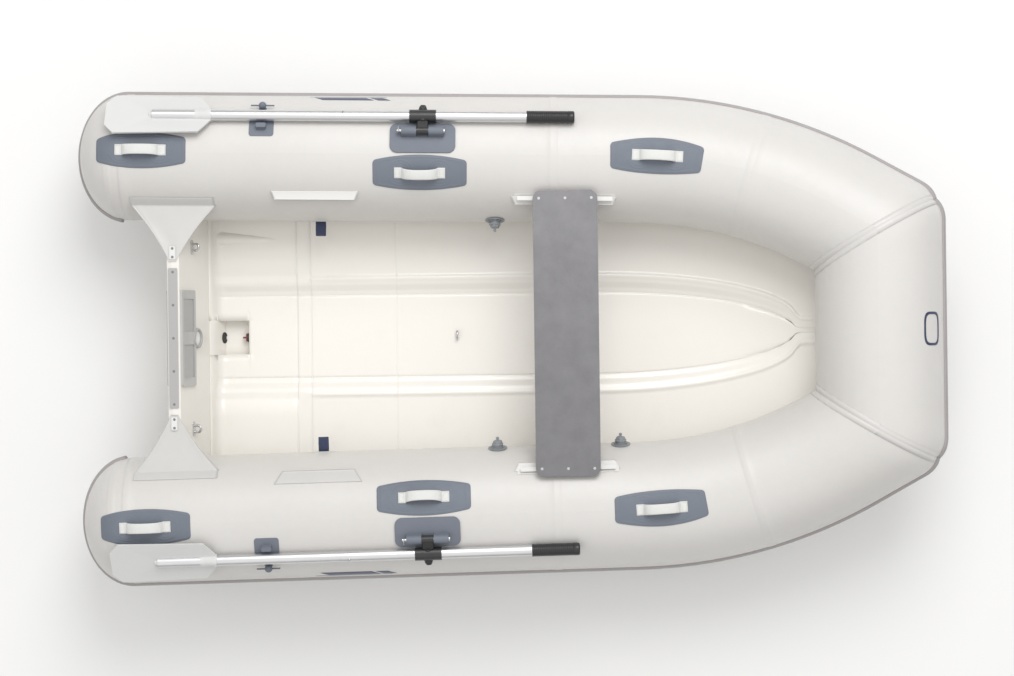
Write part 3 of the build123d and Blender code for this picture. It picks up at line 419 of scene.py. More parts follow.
def cornerInset(t, around):
    # the inflated corner is rounded: how far a point at t from the mitre moves, and which way
    reach = corner["bend"] * tan(corner["halfTurn"])
    weight = max(sin(around), 0) ** corner["spread"]
    if t >= reach or weight <= 0:
        return Vector((0, 0, 0))
    sag = corner["bend"] - sqrt(corner["bend"] ** 2 - (reach - t) ** 2)
    outward = axesAt(noseStart, around)[2]
    return (outward + bowNormal(ridgePoint(around))).normalized() * (-sag * weight / cos(corner["halfTurn"]))


def puckerAt(toEnd, inner, phase):
    # small folds that run off the mitre on its inner side
    return tube["pucker"] * max(inner, 0) * exp(-toEnd / 0.05) * (0.5 + 0.5 * sin(phase))


def tubeSkin(name, side, first, last, toMitre=False):
    # one stretch of a side tube, slightly uneven between its seams
    marks = lineUp(first, last, tube["step"] / (4 if toMitre else 1), seamEdges)
    points, uvs = [], []
    count = tube["segments"]
    for i, d in enumerate(marks):
        for j in range(count + 1):
            around = 2 * pi * j / count
            at = d
            if toMitre:
                at = first + (noseEnd(around) - first) * (d - first) / (last - first)
            spot = skinAt(at, around)
            uneven = noise.noise(spot * 5.5 + Vector((3.1, 7.7 * side, 0.4))) * 0.5 - 0.5
            rise = seamLift(at) + uneven * tube["dimple"]
            if toMitre or at > noseStart - 0.25:
                rise -= puckerAt(max(noseEnd(around) - at, 0), -sin(around), around * 34 + side)
            inset = cornerInset(noseEnd(around) - at, around) if toMitre else Vector((0, 0, 0))
            points.append(mirrored(skinAt(at, around, rise) + inset, side))
            uvs.append((at, around * radius))
    return makeMesh(name, points, gridFaces(len(marks), count + 1), tubeMat, uvs=uvs, flip=side < 0)


def domeSkin(name, side):
    # stern cone: rings of equal angle, closed at the tip
    points, uvs = [], []
    count, steps = tube["segments"], 26
    onDome = [seam for seam in seamEdges if -lines["dome"] < seam < 0]
    turns = sorted(set([pi / 2 * i / steps for i in range(steps)] +
                       [atan2(-seam, sqrt(lines["dome"] ** 2 - seam ** 2)) for seam in onDome]))
    for t in turns:
        for j in range(count + 1):
            around = 2 * pi * j / count
            d = -lines["dome"] * sin(t)
            points.append(mirrored(skinAt(d, around, seamLift(d) - (0 if d == 0 else 0.0002)), side))
            uvs.append((-t * 0.18, around * radius))
    points.append(mirrored(skinAt(-lines["dome"], 0), side))
    uvs.append((-0.28, 0))
    faces = gridFaces(len(turns), count + 1)
    base = (len(turns) - 1) * (count + 1)
    faces += [(base + j, len(points) - 1, base + j + 1) for j in range(count)]
    return makeMesh(name, points, faces, tubeMat, uvs=uvs, flip=side > 0)


sides = ((1, "port"), (-1, "starboard"))
for side, hand in sides:
    aft = tubeSkin(hand + "AftTubeSkin", side, 0, 1.42)
    quarter = tubeSkin(hand + "QuarterTubeSkin", side, 1.42, noseStart)
    nose = tubeSkin(hand + "NoseSkin", side, noseStart, noseStart + 0.13, True)
    dome = domeSkin(hand + "SternDome", side)
    for piece, node in ((aft, hand + "_aft_tube"), (quarter, hand + "_quarter_tube"), (nose, "nose_tubes"),
                        (dome, "end_cones")):
        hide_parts(node)


def bowSkin():
    count, rows = tube["segments"], 88
    points, uvs = [], []
    for i in range(rows + 1):
        for j in range(count + 1):
            ridge = ridgePoint(2 * pi * j / count)
            even = 2 * i / rows - 1
            share = even * (1.35 - 0.35 * even * even)
            spot = Vector((ridge.x, ridge.y * share, ridge.z))
            normal = bowNormal(spot)
            uneven = noise.noise(spot * 5.5 + Vector((1.3, 0.2, 4.4))) * 0.5 - 0.5
            toEnd = ridge.y * (1 - abs(share))
            fold = puckerAt(toEnd, -normal.x, j * 1.9)
            inset = mirrored(cornerInset(toEnd, 2 * pi * j / count), 1 if share > 0 else -1)
            points.append(spot + normal * (uneven * tube["dimple"] - fold) + inset)
            uvs.append((spot.y, j / count * 2 * pi * radius))
    return makeMesh("bowTubeSkin", points, gridFaces(rows + 1, count + 1), tubeMat, uvs=uvs, flip=False)


bow = bowSkin()
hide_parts("bow_tube")

# tape over each mitre: two strips with a ridge line between them
tape = dict(half=0.021, thick=0.0014, edge=0.0006, lip=0.0035, groove=0.0012, sunk=0.0004)
tapeHalf = ((tape["half"], -tape["sunk"]), (tape["half"] - tape["edge"], tape["thick"]),
            (tape["lip"], tape["thick"]), (tape["groove"], tape["sunk"]))
tapeSection = ([(-off, lift) for off, lift in tapeHalf] + [(0, tape["sunk"] / 2)] + list(reversed(tapeHalf)))
for side, hand in sides:
    points, uvs = [], []
    for j in range(tube["segments"] + 1):
        around = 2 * pi * j / tube["segments"]
        ridge = ridgePoint(around)
        origin, forward, noseNormal, across = axesAt(noseEnd(around), around)
        tubeNormal = bowNormal(ridge)
        for off, lift in tapeSection:
            if off < 0:
                spot = ridge + forward * off + noseNormal * lift
            elif off > 0:
                spot = ridge + Vector((0, -off, 0)) + tubeNormal * lift
            else:
                spot = ridge + (noseNormal + tubeNormal).normalized() * lift
            points.append(mirrored(spot + cornerInset(abs(off), around), side))
            uvs.append((off, around * radius))
    faces = gridFaces(tube["segments"] + 1, len(tapeSection))
    piece = makeMesh(hand + "MitreTape", points, faces, tapeMat, uvs=uvs, flip=side > 0)
print("tubes made")

# rub strake: a grooved rubber band with a dark line in the groove; the last rows close up to the mitre
strake = dict(half=0.022, lip=0.0045, crown=0.0098, grooveHalf=0.0045, grooveDepth=0.0030, lineHalf=0.0036,
              endRows=15, endStep=0.0068, aftGap=0.105)


def strakeProfile(isLine):
    # (out, up) pairs from the lower edge to the upper one; a closed loop
    if isLine:
        floorAt = strake["crown"] - strake["grooveDepth"]
        half = strake["lineHalf"]
        return [(floorAt - 0.0005, -half), (floorAt + 0.0012, -half), (floorAt + 0.002, 0),
                (floorAt + 0.0012, half), (floorAt - 0.0005, half)]
    h, lip, crown, g, deep = (strake[k] for k in ("half", "lip", "crown", "grooveHalf", "grooveDepth"))
    upper = [(-0.004, h), (lip * 0.6, h), (lip, h - 0.0015), (lip, h * 0.74), (lip + 0.0012, h * 0.66),
             (crown - 0.0012, h * 0.50), (crown, h * 0.36), (crown, g + 0.001), (crown - 0.0006, g),
             (crown - deep, g)]
    return [(o, -u) for o, u in upper] + [(o, u) for o, u in reversed(upper)]


def strakeFrames():
    # stations round the stern dome and on along the side: origin of the skin, out, up
    frames = []
    origin, forward, outboard, upward = stationAt(0)
    for i in range(44):
        t = (pi - strake["aftGap"]) * (1 - i / 43)      # from the inner side round the tip
        spot = origin + outboard * (radius * cos(t)) - forward * (lines["dome"] * sin(t))
        out = (outboard * (cos(t) / radius) - forward * (sin(t) / lines["dome"])).normalized()
        frames.append((spot, out, upward))
    for d in lineUp(0, noseStart, 0.03)[1:]:
        origin, forward, outboard, upward = stationAt(d)
        frames.append((origin + outboard * radius, outboard, upward))
    return frames


outerEnd = stationAt(noseStart)[2]
leant = outerEnd - mitreNormal * (2 * outerEnd.dot(mitreNormal))
bowLean = atan2(leant.z, leant.x)
bowOut = Vector((cos(bowLean), 0, sin(bowLean)))
bowUp = Vector((-sin(bowLean), 0, cos(bowLean)))


def strakePiece(name, side, profile, material, bowPart=False):
    points, uvs, run = [], [], 0.0
    if bowPart:
        shares = [1 - 0.22 * k / 14 for k in range(14)] + [0.75, 0.5, 0.25]
        shares = [-v for v in shares] + [0] + shares[::-1]
        for share in shares:
            for out, rise in profile:
                spot = bowCentre + bowOut * (radius + out) + bowUp * rise
                fromMitre = spot - Vector((mitrePoint.x, 0, mitrePoint.z))
                end = mitrePoint.y - fromMitre.dot(mitreNormal) / mitreNormal.y
                inset = mirrored(cornerInset(end * (1 - abs(share)), pi / 2), 1 if share > 0 else -1)
                points.append(Vector((spot.x, end * share, spot.z)) + inset)
                uvs.append((end * share, rise))
        rows = len(shares)
    else:
        stations = strakeFrames()
        for k, (origin, out, upward) in enumerate(stations):
            if k:
                run += (origin - stations[k - 1][0]).length
            for outward, rise in profile:
                points.append(mirrored(origin + out * outward + upward * rise, side))
                uvs.append((run, rise))
        origin, forward, outboard, upward = stationAt(noseStart)
        for k in reversed(range(strake["endRows"])):
            short = strake["endStep"] * k
            for outward, rise in profile:
                start = origin + outboard * (radius + outward) + upward * rise
                reach = (mitrePoint - start).dot(mitreNormal) / forward.dot(mitreNormal) - short
                points.append(mirrored(start + forward * reach + cornerInset(short, pi / 2), side))
                uvs.append((run + reach, rise))
        rows = len(stations) + strake["endRows"]
    faces = gridFaces(rows, len(profile), closedAcross=True) + endFaces(rows, len(profile))
    piece = makeMesh(name, points, faces, material, uvs=uvs, flip=side > 0 and not bowPart)
    return piece


for side, hand in sides:
    band = strakePiece(hand + "Strake", side, strakeProfile(False), strakeMat)
    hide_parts("side_strakes", "stern_strakes")
    strakePiece(hand + "StrakeLine", side, strakeProfile(True), strakeLineMat)
bowBand = strakePiece("bowStrakeBand", 1, strakeProfile(False), strakeMat, True)
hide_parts("bow_strake")
strakePiece("bowStrakeLine", 1, strakeProfile(True), strakeLineMat, True)
print("strakes made")


def roundedRun(steps, inner, outer, thick):
    # (share from -1 to 1, lift) pairs with a softened edge at both ends
    rim = [(1, -0.0003), (1, thick * 0.55), (outer, thick * 0.9), (inner, thick)]
    middle = [(inner * (2 * k / steps - 1), thick) for k in range(1, steps)]
    return [(-share, lift) for share, lift in rim] + middle + list(reversed(rim))


def patchOn(name, side, place, outline, material, thick=0.0015, emboss=None, rows=64, columns=28, base=0.0,
            slant=0.0):
    # outline(share) gives (lower edge, upper edge) across at each share of the length
    distance, around, length = place
    points, uvs = [], []
    across = roundedRun(columns, 0.96, 0.985, thick)
    along = roundedRun(rows, 0.975, 0.99, thick)
    for share, endLift in along:
        low, high = outline(share)
        for cross, sideLift in across:
            u = share * length / 2
            v = (low + high) / 2 + cross * (high - low) / 2
            lift = min(endLift, sideLift)
            if emboss and lift > thick * 0.95:
                lift += emboss(u, v)
            points.append(mirrored(skinAt(distance + u + v * slant, around + v / radius, base + lift), side))
            uvs.append((u, v))
    return makeMesh(name, points, gridFaces(len(along), len(across)), material, uvs=uvs, flip=side < 0)


# grab handles: a patch with embossed lines and a webbing strap stitched down at both feet
handle = dict(length=0.292, width=0.118, endWidth=0.082, strapLength=0.165, strapWidth=0.036, height=0.034,
              thick=0.003, foot=0.024, footSpot=0.062, patchThick=0.0020)
handlePlaces = {"Aft": (0.074, 2, 0.292), "Mid": (0.975, -17, 0.304), "Fore": (1.746, 0, 0.312)}


def barrel(share):
    # bowed sides, with the corners of the ends rounded off
    half = handle["endWidth"] / 2 + (handle["width"] - handle["endWidth"]) / 2 * (1 - share * share)
    corner = max(abs(share) - 0.93, 0) / 0.07
    half -= 0.009 * (1 - sqrt(max(1 - corner * corner, 0)))
    return -half, half


def embossedArcs(u, v):
    # raised border line and two arcs beside the strap's feet
    rise = 0.0
    edge = barrel(2 * u / handle["length"])[1]
    for gap in (edge - abs(v) - 0.007, handle["length"] / 2 - abs(u) - 0.009):
        if abs(gap) < 0.0016:
            rise = 0.0006
    fromFoot = sqrt((abs(u) - handle["footSpot"]) ** 2 + v ** 2)
    for reach, half, high in ((0.041, 0.0018, 0.0007), (0.033, 0.0015, 0.0006)):
        if abs(fromFoot - reach) < half and abs(v) > 0.012:
            rise = high
    return rise


def strapHandle(name, side, distance, around):
    # webbing arch with flat stitched feet
    points, uvs = [], []
    half = handle["strapLength"] / 2
    archHalf = half - handle["foot"]
    archHigh = handle["height"] - handle["thick"] - 0.0018
    steps, across = 48, 12
    path = []
    for k in range(steps + 1):
        u = -half + 2 * half * k / steps
        inArch = max(1 - (abs(u) / archHalf) ** 2.6, 0)
        path.append((u, archHigh * inArch ** 0.62))
    profile = [c / across * 2 - 1 for c in range(across + 1)]
    loop = [(c, 1) for c in profile] + [(c, -1) for c in reversed(profile)]
    origin, forward, normal, acrossDir = axesAt(distance, around)
    for k, (u, rise) in enumerate(path):
        before, after = path[max(k - 1, 0)], path[min(k + 1, steps)]
        slope = atan2(after[1] - before[1], after[0] - before[0])
        pinch = 1 - 0.10 * min(rise / 0.03, 1)
        for cross, top in loop:
            rounded = sqrt(max(1 - max(abs(cross) - 0.8, 0) ** 2 / 0.045, 0.0)) if abs(cross) > 0.8 else 1
            ribs = 0.00022 * cos(cross * pi * 7)
            thick = top * (handle["thick"] / 2 * max(rounded, 0.25) + ribs)
            crown = rise + handle["thick"] / 2 + 0.0017 + min(rise, 0.004) * 0.35 * (1 - cross * cross)
            v = cross * handle["strapWidth"] / 2 * pinch
            lowering = (sqrt(radius ** 2 - v * v) - radius) * (1 - min(rise / 0.006, 1))
            spot = origin + forward * (u - thick * sin(slope)) + acrossDir * v
            spot += normal * (radius + crown + lowering + thick * cos(slope))
            points.append(mirrored(spot, side))
            uvs.append((u, v))
    faces = gridFaces(steps + 1, len(loop), closedAcross=True) + endFaces(steps + 1, len(loop))
    strap = makeMesh(name, points, faces, whiteWebMat, uvs=uvs, flip=side > 0)
    return strap


def stitchRows(name, side, distance, around, spots, lift, length=0.0032, wide=0.0006):
    # short raised stitches, each a small six-sided capsule lying on the strap
    points, faces = [], []
    origin, forward, normal, acrossDir = axesAt(distance, around)
    for u, v, turn in spots:
        run = forward * cos(turn) + acrossDir * sin(turn)
        flat = acrossDir * cos(turn) - forward * sin(turn)
        drop = sqrt(radius ** 2 - v * v) - radius
        middle = origin + normal * (radius + lift + drop) + forward * u + acrossDir * v
        start = len(points)
        for along, fat in ((-1, 0.35), (-0.75, 1), (0.75, 1), (1, 0.35)):
            for k in range(6):
                a = pi * k / 3
                section = (flat * cos(a) + normal * sin(a)) * (wide * fat)
                points.append(mirrored(middle + run * (along * length / 2) + section, side))
        faces += gridFaces(4, 6, closedAcross=True, start=start)
        faces.append(tuple(start + k for k in range(6)))
        faces.append(tuple(start + 18 + k for k in reversed(range(6))))
    piece = makeMesh(name, points, faces, threadMat, uvs=[(p.x, p.y) for p in points], flip=side > 0)


for side, hand in sides:
    for where, (distance, turn, padLength) in handlePlaces.items():
        around = radians(turn)
        pad = patchOn(hand + where + "HandlePatch", side, (distance, around, padLength), barrel, patchMat,
                      handle["patchThick"], embossedArcs, rows=120, columns=56)
        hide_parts("handle_patches")
        strap = strapHandle(hand + where + "Handle", side, distance, around)
        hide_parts("handle_straps")
        spots = []
        for end in (-1, 1):
            for k in range(7):
                v = -0.0135 + 0.0045 * k
                spots += [(end * 0.0790, v, pi / 2), (end * 0.0645, v, pi / 2)]
            for k in range(3):
                u = end * (0.0675 + 0.0045 * k)
                spots += [(u, -0.0145, 0), (u, 0.0145, 0)]
        onStrap = handle["thick"] + handle["patchThick"]
        stitchRows(hand + where + "Stitches", side, distance, around, spots, onStrap)
print("handles made")

# webbing loops on pale patches
loop = dict(at=0.639, around=radians(-93), width=0.033, reach=0.052, gap=0.022, thick=0.0026, steps=40)


def roundedBox(halfAcross, corner=0.2):
    def edges(share):
        into = max(abs(share) - (1 - corner), 0) / corner
        half = halfAcross - 0.012 * (1 - sqrt(max(1 - into * into, 0)))
        return -half, half
    return edges


for side, hand in sides:
    place = (loop["at"], loop["around"], 0.074)
    pad = patchOn(hand + "LoopPatch", side, place, roundedBox(0.031), lightPatchMat, 0.0016, rows=24,
                  columns=20)
    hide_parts("loop_patches")
    origin, forward, normal, tangent = axesAt(loop["at"], loop["around"])
    path = []
    for k in range(loop["steps"] + 1):
        t = k / loop["steps"]
        bulge = sin(pi * t) ** 0.55
        spread = (loop["gap"] - loop["thick"]) / 2 * (0.75 + 0.45 * bulge * (1 - bulge * 0.35))
        path.append(Vector((cos(pi * t) * spread, 0.0015 + (loop["reach"] - loop["thick"] * 2) * bulge)))
    crosses = [c / 5 - 1 for c in range(11)]
    section = [(cross, loop["thick"] / 2 + 0.00016 * cos(cross * pi * 5)) for cross in crosses]
    section += [(-cross, -loop["thick"] / 2) for cross in crosses]
    points, uvs, run = [], [], 0.0
    for k, here in enumerate(path):
        before, after = path[max(k - 1, 0)], path[min(k + 1, loop["steps"])]
        direction = (after - before).normalized()
        outward = Vector((direction.y, -direction.x))
        run += (here - path[max(k - 1, 0)]).length
        for cross, offset in section:
            v, h = here + outward * offset
            spot = origin + normal * (radius + h) + tangent * v + forward * (cross * loop["width"] / 2)
            points.append(mirrored(spot, side))
            uvs.append((run, cross * loop["width"] / 2))
    faces = gridFaces(len(path), len(section), closedAcross=True) + endFaces(len(path), len(section))
    web = makeMesh(hand + "WebLoop", points, faces, navyWebMat, uvs=uvs, flip=side < 0)
    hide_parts("web_loops")

# transom flaps: cloth triangles clamped on the board and glued up the tube
flap = dict(apexY=0.250, rootZ=0.4535, forward=0.143, aft=0.132, apexHalf=0.011, glue=0.036, thick=0.0024,
            sag=0.005, board=-1.098, top=0.452, columns=28)


def flapSpot(s, t):
    # s from aft (0) to forward (1), t from the apex (0) to the root (1) and on up the tube to 2
    span = min(t, 1.0)
    aftX = flap["board"] - flap["apexHalf"] + (flap["apexHalf"] - flap["aft"]) * span
    foreX = flap["board"] + flap["apexHalf"] + (flap["forward"] - flap["apexHalf"]) * span
    pull = sin(pi * span) * 0.010
    x = (aftX + pull) * (1 - s) + (foreX - pull) * s
    d = (x - domeX) / cos(radians(lines["taper"]))
    rootAround = -acos((flap["rootZ"] - axisZ) / radius)
    if t > 1:
        onTube = rootAround + (t - 1) * flap["glue"] / radius
        return skinAt(d, onTube, 0.0004)
    root = skinAt(d, rootAround, 0.0004)
    y = flap["apexY"] + (root.y - flap["apexY"]) * t
    z = flap["top"] + 0.0003 + (root.z - flap["top"]) * t
    ripple = 0.0012 * sin(s * 9 + t * 5) * sin(pi * t)
    return Vector((x, y, z - flap["sag"] * sin(pi * min(t, 1)) * sin(pi * s) * 0.6 + ripple))


def acrossTo(t):
    # points across the flap at t
    return [flapSpot(c / flap["columns"], t) for c in range(flap["columns"] + 1)]


for side, hand in sides:
    columns = flap["columns"]
    marks = [k / 34 for k in range(35)] + [1.15, 1.3, 1.45, 1.6, 1.75, 1.9, 1.97, 2.0]
    mid = [acrossTo(t) for t in marks]
    flatArea = 0.0
    for i in range(len(marks) - 1):
        for j in range(columns):
            a, b, c, d = mid[i][j], mid[i][j + 1], mid[i + 1][j + 1], mid[i + 1][j]
            flatArea += ((b - a).cross(c - a).length + (c - a).cross(d - a).length) / 2
    points, uvs = [], []
    for level in (1, 0):
        for i, t in enumerate(marks):
            for j in range(columns + 1):
                rootward = mid[min(i + 1, len(marks) - 1)][j] - mid[max(i - 1, 0)][j]
                forward = mid[i][min(j + 1, columns)] - mid[i][max(j - 1, 0)]
                normal = forward.cross(rootward).normalized()
                hem = 0.0006 if j in (1, 2, columns - 1, columns - 2) else 0.0
                edge = 0.35 if j in (0, columns) or i == len(marks) - 1 else 1.0
                points.append(mirrored(mid[i][j] + normal * ((flap["thick"] + hem) * edge * level), side))
                uvs.append((mid[i][j].x, t * 0.2))
    size = len(marks) * (columns + 1)
    faces = gridFaces(len(marks), columns + 1)
    faces += [tuple(reversed([v + size for v in f])) for f in gridFaces(len(marks), columns + 1)]
    last = len(marks) - 1
    rim = [i * (columns + 1) for i in range(last + 1)]
    rim += [last * (columns + 1) + j for j in range(1, columns + 1)]
    rim += [i * (columns + 1) + columns for i in range(last - 1, -1, -1)]
    rim += list(range(columns - 1, 0, -1))
    for k, a in enumerate(rim):
        b = rim[(k + 1) % len(rim)]
        faces.append((a, b, b + size, a + size))
    cloth = makeMesh(hand + "TransomFlap", points, faces, flapMat, uvs=uvs, flip=side > 0)
    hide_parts("transom_flaps")
print("flaps made")

# floor liner: panel, grooves, slopes and side decks as one moulding
deck = dict(low=0.150, high=0.172, panel=0.140, slope=0.196, archStart=0.290, archTip=0.967, bowRise=0.098,
            wellX=-0.885, wellFloor=0.100, boardX=-0.9896, rake=16, end=1.118, groove=0.0035,
            bead=0.0035, cove=0.038, wellCove=0.004, upBoard=0.075, wellShare=0.429, skin=0.004)
rake = radians(deck["rake"])


# grooves across the floor: where, half width, depth
crossLines = ((-0.722, 0.0025, 0.0022), (-0.674, 0.0025, 0.0022), (-0.385, 0.0015, 0.0010))


def centreAt(x):
    # y and z of the port tube's centre over this x
    low, high = 0.0, noseStart + 0.3
    for step in range(40):
        mid = (low + high) / 2
        if stationAt(mid)[0].x < x:
            low = mid
        else:
            high = mid
    origin = stationAt(low)[0]
    return origin.y, origin.z


def deckRow(x):
    # (y, z) pairs from the centreline to inside the tube
    rise = deck["bowRise"] * max((x - 0.5) / 0.625, 0) ** 2
    narrow = sqrt(max(1 - (max(x - deck["archStart"], 0) / (deck["archTip"] - deck["archStart"])) ** 2, 0.0))
    high = deck["high"] + rise
    low = high - (deck["high"] - deck["low"]) * max(narrow, 0.1)
    p = max(deck["panel"] * narrow, 0.008)
    q = max((deck["slope"] - 0.04) * narrow + 0.04, 0.03)
    fade = min(max((x + 0.70) / 0.05, 0), 1)
    y, z = centreAt(max(x, domeX + 0.001))
    tubeEdge = max(y - sqrt(max(radius ** 2 - (z - high) ** 2, 0)) + 0.012, q + 0.02)
    pairs = []
    inWell = x < deck["wellX"] - 0.0004
    wall = deck["wellShare"]
    for share in (0, 0.2, 0.4, wall - 0.0005, wall + 0.0005, 0.6, 0.8, 0.93):
        pairs.append((p * share, deck["wellFloor"] if inWell and share < wall else low))
    g = deck["groove"] * (0.3 + 0.7 * min(narrow * 2, 1))
    for off, depth in ((-0.0065, 0), (-0.004, 0.7), (-0.001, 1), (0.002, 0.8), (0.005, -0.1)):
        pairs.append((p + off * min(1, p / 0.03), low - g * depth))
    for share in (0.12, 0.35, 0.6, 0.85):
        smooth = share * share * (3 - 2 * share)
        pairs.append((p + 0.006 + (q - 0.008 - p - 0.006) * share, low + (high - low) * smooth))
    for off, up in ((-0.007, 0.0), (-0.004, 0.75), (0, 1), (0.004, 0.75), (0.007, 0.0)):
        pairs.append((q + off, high + deck["bead"] * up * fade))
    aftPanel = 0.004 * min(max((-0.715 - x) / 0.008, 0), 1)
    for share in (0.04, 0.06, 0.25, 0.5, 0.75, 1.0):
        lift = aftPanel if share >= 0.06 else 0.0
        pairs.append((q + 0.008 + (tubeEdge - q - 0.008) * share, high + lift))
    cross = 0.0
    for at, half, deep in crossLines:
        if abs(x - at) < half:
            cross = deep
    return [(y, z - (cross if z > 0.12 else 0)) for y, z in pairs]


def coveSpot(turn, z, size):
    # where the floor curves up into the raked board; turn runs 0 to 1, and past 1 it climbs the board
    whole = pi / 2 - rake
    endZ = z + size * (1 - cos(whole))
    faceX = deck["boardX"] - (endZ - deck["low"]) * tan(rake)
    middle = faceX + size * sin(whole)
    if turn <= 1:
        return middle - size * sin(whole * turn), z + size * (1 - cos(whole * turn))
    left = deck["upBoard"] - (endZ - deck["low"])
    climb = (turn - 1) * (left if left > 0 else 0.01)
    sink = 0.0025 if turn >= 2 else 0.0
    return faceX - climb * tan(rake) - sink, endZ + climb


def floorSkin():
    special = [at + step for at, half, deep in crossLines[:2] for step in (-0.004, -0.0022, 0, 0.0022, 0.004)]
    special += [-0.387, -0.385, -0.383, deck["wellX"] - 0.0005, deck["wellX"] - 0.0003, -0.720, -0.7145]
    marks = lineUp(-0.950, deck["end"], 0.014, special)
    points, uvs = [], []
    turns = (2.0, 1.99, 1.5, 1.0, 0.88, 0.75, 0.62, 0.5, 0.37, 0.25, 0.12, 0.0)
    half = deckRow(marks[0])
    aftRow = [(-y, z) for y, z in reversed(half[1:])] + half
    for turn in turns:
        for y, z in aftRow:
            cove = deck["wellCove"] if z < deck["low"] - 0.02 else deck["cove"]
            x, height = coveSpot(turn, z, cove)
            points.append(Vector((x, y, height)))
            uvs.append((x - height, y))
    for x in marks:
        half = deckRow(x)
        for y, z in [(-y, z) for y, z in reversed(half[1:])] + half:
            points.append(Vector((x, y, z)))
            uvs.append((x, y))
    faces = gridFaces(len(marks) + len(turns), len(aftRow))
    return makeMesh("floorMoulding", points, faces, floorMat, uvs=uvs, flip=True)


floor = floorSkin()
thick = floor.modifiers.new("skin", "SOLIDIFY")
thick.thickness = deck["skin"]
thick.offset = -1
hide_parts("floor_liner")
print("floor made")


def lathe(name, origin, axis, profile, material, body, segments=56, lobes=0, side=1, closed=False):
    # profile rows are (radius, height along the axis, depth of the lobes)
    axis = axis.normalized()
    across = axis.orthogonal().normalized()
    beside = axis.cross(across)
    points, uvs = [], []
    for r, h, deep in profile:
        for k in range(segments):
            a = 2 * pi * k / segments
            reach = r * (1 + deep * cos(lobes * a))
            spot = origin + axis * h + (across * cos(a) + beside * sin(a)) * reach
            points.append(mirrored(spot, side))
            uvs.append((a * 0.02, h))
    faces = gridFaces(len(profile), segments, closedAcross=True, closedAlong=closed)
    if not closed:
        faces += endFaces(len(profile), segments)
    return makeMesh(name, points, faces, material, body, uvs=uvs, flip=side > 0)


def standAt(distance, around, lift=0.0):
    # a spot above the skin, with the skin's normal and the way forward
    origin, forward, normal, across = axesAt(distance, around)
    return origin + normal * (radius + lift), normal, forward


def inMetres(rows):
    return [(r / 1000, h / 1000, deep) for r, h, deep in rows]


# valve caps: skirt, lobed grip and a small pull knob, in millimetres from the skin
valve = dict(around=radians(-78), sideAt=1.218, bowAt=1.624, lobes=6)
capProfile = inMetres((
    (0.5, 12.4, 0), (18.4, 12.4, 0), (19.0, 13.0, 0), (19.0, 16.6, 0), (18.4, 17.4, 0), (15.6, 17.8, 0),
    (15.0, 18.6, 0.03), (14.8, 20.0, 0.07), (14.4, 23.5, 0.08), (13.2, 25.6, 0.07), (10.5, 27.0, 0.02),
    (6.0, 28.2, 0), (4.3, 29.2, 0), (3.9, 31.5, 0), (4.4, 33.6, 0), (5.4, 35.2, 0), (5.5, 36.8, 0),
    (4.3, 38.4, 0), (2.0, 39.1, 0), (0.3, 39.2, 0)))
for where, side, distance in (("port", 1, valve["sideAt"]), ("starboard", -1, valve["sideAt"]),
                              ("bow", -1, valve["bowAt"])):
    origin, normal, forward = standAt(distance, valve["around"])
    cap = lathe(where + "ValveCap", origin, normal, capProfile, greyMat, where + "_cap", 84, valve["lobes"],
                side)
    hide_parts(where + "_valve_cap")

# ribbed oar grips
oar = dict(at=0.984, around=radians(32), gap=0.005, shaft=0.018, first=0.335, last=0.490, grip=0.0204,
           rib=0.0062, groove=0.0009, stemAround=radians(18.5), stemLift=0.024, knobLobes=5)
for side, hand in sides:
    origin, normal, forward = standAt(oar["at"], oar["around"], oar["shaft"] + oar["gap"])
    rows = [(oar["shaft"] + 0.0002, oar["first"] + 0.004, 0), (oar["shaft"] + 0.0003, oar["first"], 0),
            (oar["grip"] - 0.0008, oar["first"], 0), (oar["grip"], oar["first"] + 0.001, 0)]
    bottom = oar["grip"] - oar["groove"]
    at = oar["first"] + 0.006
    while at < oar["last"] - 0.020:
        rows += [(oar["grip"], at, 0), (bottom, at + 0.0008, 0), (bottom, at + 0.0024, 0),
                 (oar["grip"], at + 0.0032, 0)]
        at += oar["rib"]
    rows += [(oar["grip"], oar["last"] - 0.006, 0), (oar["grip"] - 0.0008, oar["last"] - 0.0025, 0),
             (oar["grip"] - 0.003, oar["last"] - 0.0006, 0), (oar["grip"] - 0.006, oar["last"], 0),
             (0.0005, oar["last"], 0)]
    grip = lathe(hand + "OarGrip", origin, forward, rows, blackMat, hand + "_oar", 48, 0, side)
    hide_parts(hand + "_oar_grip")

# lobed oarlock knobs, on the CAD knob's place
for side, hand in sides:
    low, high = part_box(hand + "_oar_knob")
    pinSpot = standAt(oar["at"], oar["stemAround"], oar["stemLift"])[0]
    shaftSpot = standAt(oar["at"], oar["around"], oar["shaft"] + oar["gap"])[0]
    stemDir = (shaftSpot - pinSpot).normalized()
    middle = mirrored((low + high) / 2, side)
    rows = inMetres((
        (0.4, -6.9, 0), (9.0, -6.9, 0), (10.4, -6.0, 0.05), (11.6, -4.0, 0.12), (11.9, 0, 0.13),
        (11.6, 4.0, 0.12), (10.2, 6.2, 0.05), (7.0, 6.9, 0), (0.4, 6.9, 0)))
    knob = lathe(hand + "OarlockKnob", middle, stemDir, rows, blackMat, hand + "_knob", 60, oar["knobLobes"],
                 side)
    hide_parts(hand + "_oar_knob")

